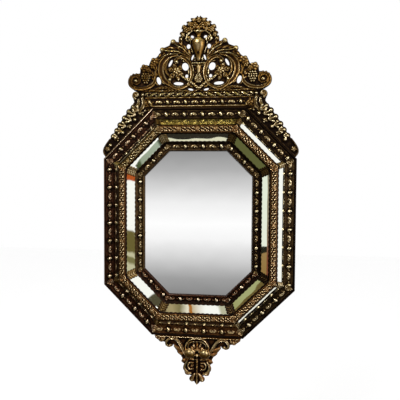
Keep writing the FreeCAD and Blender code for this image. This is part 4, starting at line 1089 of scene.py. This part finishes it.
def bracket(hand, flip, first):
    """Leafy band down an upper diagonal, from a knob to a rounded end; first is a boss of its row."""
    sheet = Relief(118, 268, 168, 360, step=1.05, ground=0.15, dark_edge=9.0)
    sheet.field(BRACKET_OUTLINE)
    sheet.stroke(((126, 309), (255, 180)), (2.0, 2.0), roll(2.6), tone=0.7)
    # Lobes of three ribbed fingers
    for foot, tip in (
        ((164, 302), (185, 318)),
        ((172, 291), (198, 305)),
        ((184, 277), (211, 287)),
        ((199, 262), (224, 267)),
        ((211, 248), (233, 251)),
        ((224, 235), (243, 234)),
    ):
        reach = math.hypot(tip[0] - foot[0], tip[1] - foot[1])
        lean = math.degrees(math.atan2(tip[1] - foot[1], tip[0] - foot[0]))
        sheet.boss(*ray(*foot, lean, 0.0, reach - 8.0)[1], 8.5, 0.8, tone=0.3)
        for turn, share in ((-36, 0.76), (36, 0.80), (0, 1.0)):
            near, far = ray(*foot, lean + turn, 2.0, share * reach - 6.5)
            sheet.stroke((near, far), (2.2, 4.2), roll(5.0), 0.4)
            sheet.boss(*far, 3.4, 3.0, 3.6)
    # Broad curved leaf under the knob, a smaller one beside it, and the knob
    sheet.stroke(((153, 336), (150, 326), (152, 316), (160, 305), (163, 297)),
                 (4.0, 5.6, 5.6, 4.4, 2.0), channel(8.0))
    sheet.stroke(((164, 334), (164, 326), (168, 317), (177, 311)), (2.6, 4.4, 4.2, 2.0), channel(7.0))
    sheet.stroke(spiral(171, 346.5, 10.0, 3, -80, 480), (3.6, 3.4, 3.0, 2.2), roll(7.0), tone=0.7)
    sheet.boss(171, 346.5, 3.6, 5, 2.0, tone=0.9)
    sheet.boss(153, 347, 4.6, 5, 1.5)
    sheet.leaf(((149, 341), (155, 340), (161, 337)), 3.4, 4.5, 3)
    # Row of bosses along the edge, with leaves between
    for k in range(-1, 3):
        x, z = first[0] + BRACKET_PITCH * k, first[1] - BRACKET_PITCH * k
        if ROW_START < x < BOSS_END:
            sheet.boss(x, z, 5.6, 5.5, 2.5, 0.85, math.radians(45))
        x, z = x + BRACKET_PITCH / 2, z - BRACKET_PITCH / 2
        if ROW_START < x < LEAF_END:
            sheet.leaf(((x - 6, z + 2), (x, z + 1), (x + 5, z - 4)), 4.4, 5.0, 3, 0.8, 1)
            sheet.boss(x - 3.5, z - 4.5, 2.4, 3.0, 2.0)
    sheet.boss(146, 303.6, 3.4, 4.5, 2.5)
    sheet.leaf(((130, 306), (136, 305), (142, 306)), 3.2, 4.0, 3)
    # Rounded lower end with its flower
    sheet.stroke(((257, 181), (262.5, 190), (262, 201), (255, 214), (246, 227)),
                 (2.2, 2.6, 2.6, 2.4, 1.8), roll(4.5), tone=0.6)
    sheet.rose(252, 200, 8.0, 4.5, 5, 0.2, 1.5, tone=0.8)
    diagonal = HALF_WIDTH + HALF_HEIGHT - CORNER + BRACKET_GAP
    over_edge = (sheet.X + sheet.Z - diagonal) / math.sqrt(2)
    tucked = np.maximum(sheet.X - STRIP_HALF + TUCK_REACH, TUCK_TOP - sheet.Z)
    sheet.clear = np.minimum(over_edge, tucked)
    # Kept low behind the strip under the crest
    under_strip = (sheet.X < STRIP_HALF + 2.5) & (sheet.Z > 305)
    most = np.where(sheet.Z > 351, 1.8, 3.0)
    sheet.high = np.where(under_strip, np.minimum(sheet.high, most), sheet.high)
    sheet.build("bracket_relief_" + hand, "bracket_" + hand, TRIM_BACK, TRIM_SHEET, OLIVE_BRASS, flip)


PENDANT_LINE = -309.3
PENDANT_BOSS = (20.2, PENDANT_LINE - 50)
PENDANT_OUTLINE = (
    (-5, 0), (118, 0), (117, 9), (108, 17), (98, 20), (90, 22), (88, 32), (78, 36), (70, 33), (65, 27),
    (58, 42), (47, 54), (41, 65), (43, 75), (36, 80), (38, 90), (34, 103), (22, 110), (12, 113), (8, 128),
    (4, 134), (-5, 135),
)


def hung(points):
    """Points given downwards from the pendant's upper edge."""
    return [(x, PENDANT_LINE - z) for x, z in points]


def pendant():
    """Pendant: bar with end leaves, scrolls, a palmette over two round bosses, crescents and a ribbed tip."""
    sheet = Relief(0, 124, -446, -306, step=1.0, ground=0.32)
    sheet.field(hung(PENDANT_OUTLINE))
    sheet.boss(13.5, PENDANT_LINE - 121, 8.0, 2.0, tone=0.5)
    sheet.stroke(hung(((0, 4.6), (60, 4.6), (117, 4.6))), (2.3, 2.3, 2.3), roll(6.5), tone=1.3)
    # Leaf at the end of the bar and leaves under the scroll
    sheet.leaf(hung(((90, 10), (103, 12), (117, 9))), 5.5, 5.5, 4)
    sheet.leaf(hung(((92, 14), (100, 18), (107, 17))), 4.5, 5.0, 3)
    sheet.stroke(hung(((40, 36), (50, 40), (62, 32))), (4.0, 7.0, 3.5), roll(4.0), tone=0.55)
    sheet.stroke(hung(((36, 50), (45, 51), (53, 47))), (3.0, 5.5, 3.0), roll(4.0), tone=0.55)
    # Side scroll from the boss to the bar and out to its volute
    scroll = (31, 58), (37, 44), (46, 28), (55, 15), (66, 9), (77, 11), (85, 19), (86, 28), (79, 33), (72, 29)
    sheet.stroke(hung(scroll), (2.2, 3.2, 4.0, 4.2, 4.0, 3.8, 3.6, 3.4, 3.0, 2.4), channel(9.0))
    sheet.boss(75, PENDANT_LINE - 28, 3.0, 5, 3.0)
    # Hood with its second rim, and palmette
    sheet.stroke(hung(((32, 40), (31, 27), (22, 13), (11, 8), (0, 8))),
                 (1.4, 2.2, 2.4, 2.2, 1.8), roll(9), tone=0.9)
    sheet.stroke(hung(((25, 34), (23, 23), (13, 16), (0, 15))), (1.2, 1.8, 1.8, 1.4), roll(7.5), tone=0.8)
    for angle, reach in ((90, 29), (64, 26), (40, 23), (18, 18)):
        sheet.leaf(ray(0, PENDANT_LINE - 45, angle, 4, reach), 3.6, 6.0, 2, 1.0, 0, tone=0.8)
    sheet.stroke(hung(((0, 17), (0, 40))), (1.5, 1.3), roll(9.0))
    # Rims of the round bosses, and the bead between
    sheet.stroke(spiral(*PENDANT_BOSS, 13.8, 13.8, 0, 360), (1.3, 1.3), roll(8.0))
    sheet.boss(0, PENDANT_LINE - 53.5, 4.6, 6, 4)
    # Wings, crescents and lower lobes
    sheet.leaf(hung(((24, 64), (33, 69), (43, 73))), 5.5, 4.5, 2, tone=0.5)
    sheet.leaf(hung(((8, 67), (19, 65), (31, 63))), 3.4, 5, 3)
    sheet.stroke(hung(((28, 73), (34, 83), (35, 93), (28, 102), (17, 106))),
                 (1.8, 3.0, 4.0, 3.8, 2.0), channel(8.5))
    sheet.stroke(hung(((10, 76), (20, 75), (25, 84), (20, 93), (11, 92))),
                 (1.3, 1.8, 2.0, 1.8, 1.3), roll(6.5), tone=0.85)
    sheet.leaf(hung(((10, 82), (15, 85), (18, 88))), 3.4, 4.5, 3, tone=0.7)
    sheet.leaf(hung(((18, 104), (27, 107), (34, 101))), 5.0, 5.0, 3, tone=0.75)
    sheet.stroke(hung(((0, 64), (0, 100), (0, 133))), (2.2, 2.0, 3.0), roll(9), tone=1.5)
    sheet.stroke(hung(((6, 106), (11, 114), (14, 123))), (3.0, 4.4, 4.4), roll(5.0), 0.5, tone=0.6)
    sheet.boss(14.5, PENDANT_LINE - 124, 3.4, 3, 3.5)
    sheet.mirrored()
    sheet.build("pendant_relief", "pendant", TRIM_BACK, TRIM_SHEET, COPPER_BRASS)


PLATE_EASE, PLATE_RIM = 1.2, 9.0


def central_plate():
    """Central plate: a flat slab whose eased edge meets the inner strips."""
    low, high = (np.array(corner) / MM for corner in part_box("center_mirror"))
    edge, back, front = HALF_WIDTH - high[0], -high[1], -low[1]
    sight = SIGHT + FIT_GAP
    loops = ((edge, back), (edge, REBATE_TOP), (sight, REBATE_TOP), (sight + PLATE_EASE, front),
             (sight + PLATE_RIM, front))
    points = [at(side, half - s * MITRE, s, d) for s, d in loops for side, (_, _, _, half) in SIDES.items()]
    rim = np.repeat([1, 1, 1, 1, 0], len(SIDES))
    faces = tube_faces(len(loops), len(SIDES))
    piece("plate_glass", points, faces, PLATE_GLASS, "center_mirror", "mirror", sharp=20, rim=rim)


def lathe(profile, place, axis, around, sides):
    """Points and faces of a turned form: (radius, height) pairs about an axis from a place."""
    place, axis, around = Vector(place), Vector(axis), Vector(around)
    across = axis.cross(around)
    points = []
    for radius, height in profile:
        for k in range(sides):
            turn = 2 * math.pi * k / sides
            way = around * math.cos(turn) + across * math.sin(turn)
            points.append(place + axis * height + way * radius)
    return points, tube_faces(len(profile), sides)


PIN_RADIUS, PIN_STEP, PIN_DEPTH, PIN_WEAR = 1.4, 40.0, 9.5, 0.62


def flange_pins():
    """Domed heads of the pins that hold the flanges of the outer strips."""
    profile = [(PIN_RADIUS, -0.4), (PIN_RADIUS, 0.15), (0.8 * PIN_RADIUS, 0.55), (0.35 * PIN_RADIUS, 0.78)]
    heads = []
    for side, (angle, _, _, half) in SIDES.items():
        if side == "top":
            continue
        outward = (math.cos(angle), 0, math.sin(angle))
        count = int(2 * half / PIN_STEP)
        for k in range(count):
            u = (k - (count - 1) / 2) * PIN_STEP
            heads.append(lathe(profile, at(side, u, 0.0, PIN_DEPTH), outward, (0, 1, 0), 12))
    points, faces = joined(heads)
    piece("flange_pin_heads", points, faces, OLIVE_BRASS, wear=np.full(len(points), PIN_WEAR))


DOME_RADIUS, DOME_RISE, COLLAR_RADIUS, COLLAR_TOP = 12.8, 9.0, 13.5, 2.0


def pendant_bosses():
    """Pair of round bosses in the rims of the pendant: a low collar and a dome, with a painted highlight on
    the upper half.
    """
    profile = [(COLLAR_RADIUS, -1.5), (COLLAR_RADIUS, 1.4), (COLLAR_RADIUS - 0.5, COLLAR_TOP)]
    for turn in np.radians((0, 15, 30, 45, 60, 72, 84)):
        profile.append((DOME_RADIUS * math.cos(turn), COLLAR_TOP + DOME_RISE * math.sin(turn)))
    x, z = PENDANT_BOSS
    places = [(sign * x, -TRIM_BACK - TRIM_SHEET, z) for sign in (-1, 1)]
    points, faces = joined(lathe(profile, place, (0, -1, 0), (1, 0, 0), 40) for place in places)
    # Painted highlight: the upper half of each dome is lighter
    wear = [0.24 + 0.46 * ramp(point.z - z, -7, 6) for point in points]
    piece("pendant_bosses", points, faces, GOLD_BRASS, wear=wear)


WIRE_RADIUS, LOOP_RADIUS, RING_LEG, WIRE_SIDES = 1.5, 11.5, 7.0, 14


def wire_ring(hand, joint):
    """D ring of round wire: a bar on the hinge axis, two legs and a half round loop."""
    x, y, z = (v / MM for v in joint["pos_m"])
    turns = np.linspace(0, math.pi, 25)
    corner = np.linspace(0, math.pi / 2, 6)
    bend = 2.0 * WIRE_RADIUS
    right = [(LOOP_RADIUS - bend + bend * math.sin(a), -bend + bend * math.cos(a)) for a in corner]
    loop = [(LOOP_RADIUS * math.cos(a), -RING_LEG - LOOP_RADIUS * math.sin(a)) for a in turns]
    path = np.array([(0.0, 0.0)] + right + loop + [(-a, b) for a, b in reversed(right)])
    ahead = np.roll(path, -1, axis=0) - np.roll(path, 1, axis=0)
    ahead /= np.hypot(*ahead.T)[:, None]
    angle = 2 * math.pi * np.arange(WIRE_SIDES) / WIRE_SIDES
    c, s = WIRE_RADIUS * np.cos(angle)[None, :], WIRE_RADIUS * np.sin(angle)[None, :]
    points = np.stack([x + path[:, :1] - ahead[:, 1:] * c, y + s + 0 * path[:, :1],
                       z + path[:, 1:] + ahead[:, :1] * c], axis=-1).reshape(-1, 3)
    faces = tube_faces(len(path), WIRE_SIDES, ends=False)
    piece("wire_ring_" + hand, points, faces, RING_STEEL, "ring_" + hand, "steel", joint["child"])


for side in SIDES:
    outer_strip(side)
    ridge_strip(side)
    inner_strip(side)
    mirror_panel("outer", side, OUTER)
    mirror_panel("inner", side, INNER)
mitre_covers()
crest()
base_strip()
bracket("right", 1.0, (160.0, 293.5))
bracket("left", -1.0, (174.0, 279.5))
pendant()
central_plate()
flange_pins()
pendant_bosses()

nodes = frame["nodes"]
joints = {joint["child"]: joint for joint in frame["joints"]}
for hand in ("left", "right"):
    wire_ring(hand, joints[hand + "_ring"])


def dress(node, material):
    """Gives a CAD node its finish."""
    mesh = nodes[node].data
    mesh.materials.clear()
    mesh.materials.append(material)


RAIL_DARK, RAIL_LIGHT = (0.035, 0.016, 0.007), (0.16, 0.085, 0.038)
BOARD_DARK, BOARD_LIGHT = (0.16, 0.095, 0.048), (0.42, 0.29, 0.17)
for side, (angle, *_) in SIDES.items():
    dress("rail_" + side, wood("rail_wood_" + side, RAIL_DARK, RAIL_LIGHT, angle - math.pi / 2))
dress("backboard", wood("backboard_wood", BOARD_DARK, BOARD_LIGHT, math.pi / 2))
dress("hanger_plates", PLATED_STEEL)
dress("hanger_screws", PLATED_STEEL)

# Stage: pale floor, and studio cards that show in reflections only, with the colours that come more than once
FLOOR, LOW, CEILING, FRONT, SIDE_WALL = -1.05, -0.70, 1.9, -2.9, 2.2
CARD_GAP = 0.02
WHITE, COAL, SHADE = (1.08, 1.08, 1.08), (0.02, 0.02, 0.012), (0.09, 0.08, 0.045)
CREAM, STRAW, MOSS = (0.90, 0.84, 0.70), (0.60, 0.57, 0.39), (0.22, 0.20, 0.085)
UMBER, RUST = (0.16, 0.13, 0.04), (0.45, 0.17, 0.03)


def flat(name, corners, material):
    """Four cornered stage card."""
    mesh = bpy.data.meshes.new(name)
    mesh.from_pydata(corners, [], [(0, 1, 2, 3)])
    mesh.materials.append(material)
    made = bpy.data.objects.new(name, mesh)
    scene.collection.objects.link(made)
    return made


def card(name, corners, stops, axis):
    """Glowing card that only reflections show, with its (place, colour) stops along an axis."""
    material, tree, shader = nodes_of(name)
    tree.nodes.remove(shader)
    glow = add(tree, "ShaderNodeEmission", Strength=1.0)
    tree.links.new(glow.outputs[0], tree.nodes["Material Output"].inputs["Surface"])
    if len(stops) == 1:
        glow.inputs["Color"].default_value = (*stops[0][1], 1)
    else:
        split = add(tree, "ShaderNodeSeparateXYZ")
        tree.links.new(add(tree, "ShaderNodeTexCoord").outputs["Object"], split.inputs[0])
        first, last = stops[0][0], stops[-1][0]
        along = calc(tree, "SUBTRACT", split.outputs[axis], first)
        share = calc(tree, "DIVIDE", along, last - first, clamp=True)
        places = [((place - first) / (last - first), colour) for place, colour in stops]
        tree.links.new(colours(tree, share, places), glow.inputs["Color"])
    made = flat(name, corners, material)
    made.visible_camera = False
    made.visible_diffuse = False
    made.visible_shadow = False


def grey(level):
    """Colour without a hue."""
    return (level, level, level)


floor_finish, _, floor_shader = nodes_of("pale_floor")
floor_shader.inputs["Base Color"].default_value = (0.97, 0.97, 0.97, 1)
floor_shader.inputs["Roughness"].default_value = 0.9
flat("floor", [(-6, -6, FLOOR), (6, -6, FLOOR), (6, 6, FLOOR), (-6, 6, FLOOR)], floor_finish)

# Upright cards in front: place along y, reach along x and z, colours upwards
for name, y, (x0, x1), (z0, z1), stops in (
    ("front_wall", FRONT, (-2.2, 2.2), (FLOOR, CEILING), [(0, (0.16, 0.145, 0.125))]),
    ("window", FRONT + 0.05, (-0.97, 0.25), (-0.96, 0.40), [
        (-0.94, grey(0.25)), (-0.78, grey(0.38)), (-0.42, grey(1.0)), (-0.28, WHITE), (-0.10, grey(0.95)),
        (0.20, grey(0.48)), (0.37, grey(0.33))]),
):
    card(name, [(x0, y, z0), (x1, y, z0), (x1, y, z1), (x0, y, z1)], stops, "Z")

# Upright cards at the sides: place along x, reach along y and z, lean of the top along y, colours upwards
RIGHT, LEFT = SIDE_WALL - CARD_GAP, CARD_GAP - SIDE_WALL
for name, x, (y0, y1), (z0, z1), lean, stops in (
    ("right_wall", SIDE_WALL, (FRONT, 0.6), (FLOOR, CEILING), 0, [(0, WHITE)]),
    ("right_hangings", RIGHT, (-1.45, -0.85), (-0.75, 0.25), 0, [
        (-0.60, STRAW), (-0.575, MOSS), (-0.535, MOSS), (-0.522, STRAW), (-0.502, STRAW), (-0.488, UMBER),
        (-0.33, UMBER), (-0.312, WHITE), (0.096, WHITE), (0.101, (0.50, 0.10, 0.02))]),
    ("right_corner", RIGHT, (-2.4, -1.2), (1.45, CEILING), 0, [(0, SHADE)]),
    ("left_wall", -SIDE_WALL, (FRONT, 1.2), (FLOOR, CEILING), 0, [(0, (0.10, 0.090, 0.060))]),
    ("left_pale", LEFT, (-0.51, -0.1), (-0.75, 0.5), 0, [
        (-0.70, (0.30, 0.18, 0.05)), (-0.462, (0.36, 0.23, 0.09)), (-0.457, COAL), (-0.405, COAL),
        (-0.40, (0.92, 0.98, 0.88)), (0.5, (0.86, 0.93, 0.80))]),
    ("left_russet", LEFT, (-0.8, -0.51), (-0.75, 0.5), 0, [
        (-0.5, (0.22, 0.07, 0.035)), (-0.2, (0.30, 0.26, 0.18))]),
    ("left_olive", LEFT, (-1.5, -0.6), (0.8, 1.85), 0, [
        (1.1, (0.34, 0.34, 0.13)), (1.3, (0.42, 0.44, 0.21))]),
    ("left_brown", LEFT + CARD_GAP, (-1.35, -0.85), (0.8, 1.85), -0.26, [(0, (0.16, 0.115, 0.035))]),
):
    card(name, [(x, y0, z0), (x, y1, z0), (x, y1 + lean, z1), (x, y0 + lean, z1)], stops, "Z")

# Level cards: place along z, reach along x and y, lean of the right end along y, colours along x
ABOVE, BELOW = CEILING - CARD_GAP, LOW + CARD_GAP / 2
for name, z, (x0, x1), (y0, y1), lean, stops in (
    ("ceiling", CEILING, (-2.2, 2.2), (FRONT, 1.2), 0, [(0, (0.28, 0.24, 0.08))]),
    ("ceiling_gold", ABOVE, (-1.0, 0.8), (-0.35, 0.55), 0, [(0, (0.74, 0.66, 0.22))]),
    ("ceiling_white", ABOVE, (1.2, 2.2), (0.05, 0.6), 0, [(0, WHITE)]),
    ("ceiling_corner", ABOVE, (1.4, 2.18), (-2.0, -1.2), 0, [(2.05, WHITE), (2.07, SHADE)]),
    ("ceiling_pale", ABOVE, (-0.9, 0.5), (-1.5, -0.6), 0, [
        (-0.47, (0.42, 0.34, 0.18)), (-0.42, (0.24, 0.20, 0.09)), (-0.362, CREAM), (-0.349, CREAM),
        (-0.344, RUST), (-0.320, RUST), (-0.315, (0.62, 0.50, 0.33)), (-0.21, WHITE), (-0.12, WHITE),
        (-0.095, (0.55, 0.54, 0.40))]),
    ("low_dark", LOW, (-1.8, 1.8), (-1.4, 0.7), 0, [(0, (0.030, 0.027, 0.020))]),
    ("low_front", FLOOR + 0.05, (-2.2, 2.2), (FRONT, -1.3), 0, [(0, (0.13, 0.095, 0.065))]),
    ("low_cream", BELOW, (-0.6, 0.36), (-0.268, -0.12), 0, [(0, (0.82, 0.80, 0.62))]),
    ("low_brown", BELOW, (-0.95, 0.30), (0.02, 0.7), 0, [(0, (0.19, 0.085, 0.020))]),
    ("low_olive", BELOW, (-1.3, -0.62), (-0.8, 0.0), 0, [(0, (0.125, 0.130, 0.045))]),
    ("low_white", BELOW, (0.36, 0.80), (-0.62, -0.30), 0, [(0, WHITE)]),
    ("low_green", LOW + CARD_GAP, (0.413, 0.672), (-0.430, -0.33), -0.08, [
        (0.413, (0.06, 0.08, 0.03)), (0.445, (0.08, 0.11, 0.05)), (0.46, (0.36, 0.42, 0.32)),
        (0.62, (0.40, 0.47, 0.38)), (0.635, (0.05, 0.06, 0.035)), (0.672, (0.06, 0.07, 0.04))]),
    ("low_line", BELOW, (0.34, 0.67), (0.0, 0.1055), 0.068, [(0, (1.0, 0.98, 0.92))]),
):
    card(name, [(x0, y0, z), (x1, y0 + lean, z), (x1, y1 + lean, z), (x0, y1, z)], stops, "X")

world = bpy.data.worlds.new("studio")
scene.world = world
world.use_nodes = True
world.node_tree.nodes["Background"].inputs["Color"].default_value = (1, 1, 1, 1)


def lamp(name, place, size, power):
    """Soft lamp aimed at the origin."""
    data = bpy.data.lights.new(name, "AREA")
    data.size = size
    data.energy = power
    made = bpy.data.objects.new(name, data)
    scene.collection.objects.link(made)
    made.location = place
    made.rotation_euler = (-Vector(place)).to_track_quat("-Z", "Y").to_euler()


lamp("key", (-0.9, -1.9, 1.7), 0.9, 26)
lamp("fill", (1.6, -1.4, 0.7), 1.0, 9)

# Camera a little to the right of the middle and above it; focal length in pixels of the 400 pixel frame
TURN, TILT, LEAN = (math.radians(v) for v in (6.88, 2.58, 0.36))
DISTANCE, AIM, FOCAL, FRAME_SIZE = 1.241, np.array((0.0043, 0.0, 0.0626)), 456.0, 400.0
back_way = np.array((math.sin(TURN) * math.cos(TILT), -math.cos(TURN) * math.cos(TILT), math.sin(TILT)))
right_way = np.array((math.cos(TURN), math.sin(TURN), 0.0))
up_way = np.cross(back_way, right_way)
rolled_right = math.cos(LEAN) * right_way + math.sin(LEAN) * up_way
rolled_up = math.cos(LEAN) * up_way - math.sin(LEAN) * right_way
lens_data = bpy.data.cameras.new("camera")
lens_data.sensor_width = 36.0
lens_data.lens = lens_data.sensor_width * FOCAL / FRAME_SIZE
camera = bpy.data.objects.new("camera", lens_data)
scene.collection.objects.link(camera)
pose = np.eye(4)
pose[:3] = np.stack([rolled_right, rolled_up, back_way, AIM + back_way * DISTANCE], axis=1)
camera.matrix_world = Matrix(pose.tolist())
scene.camera = camera
scene.view_settings.view_transform = "Standard"
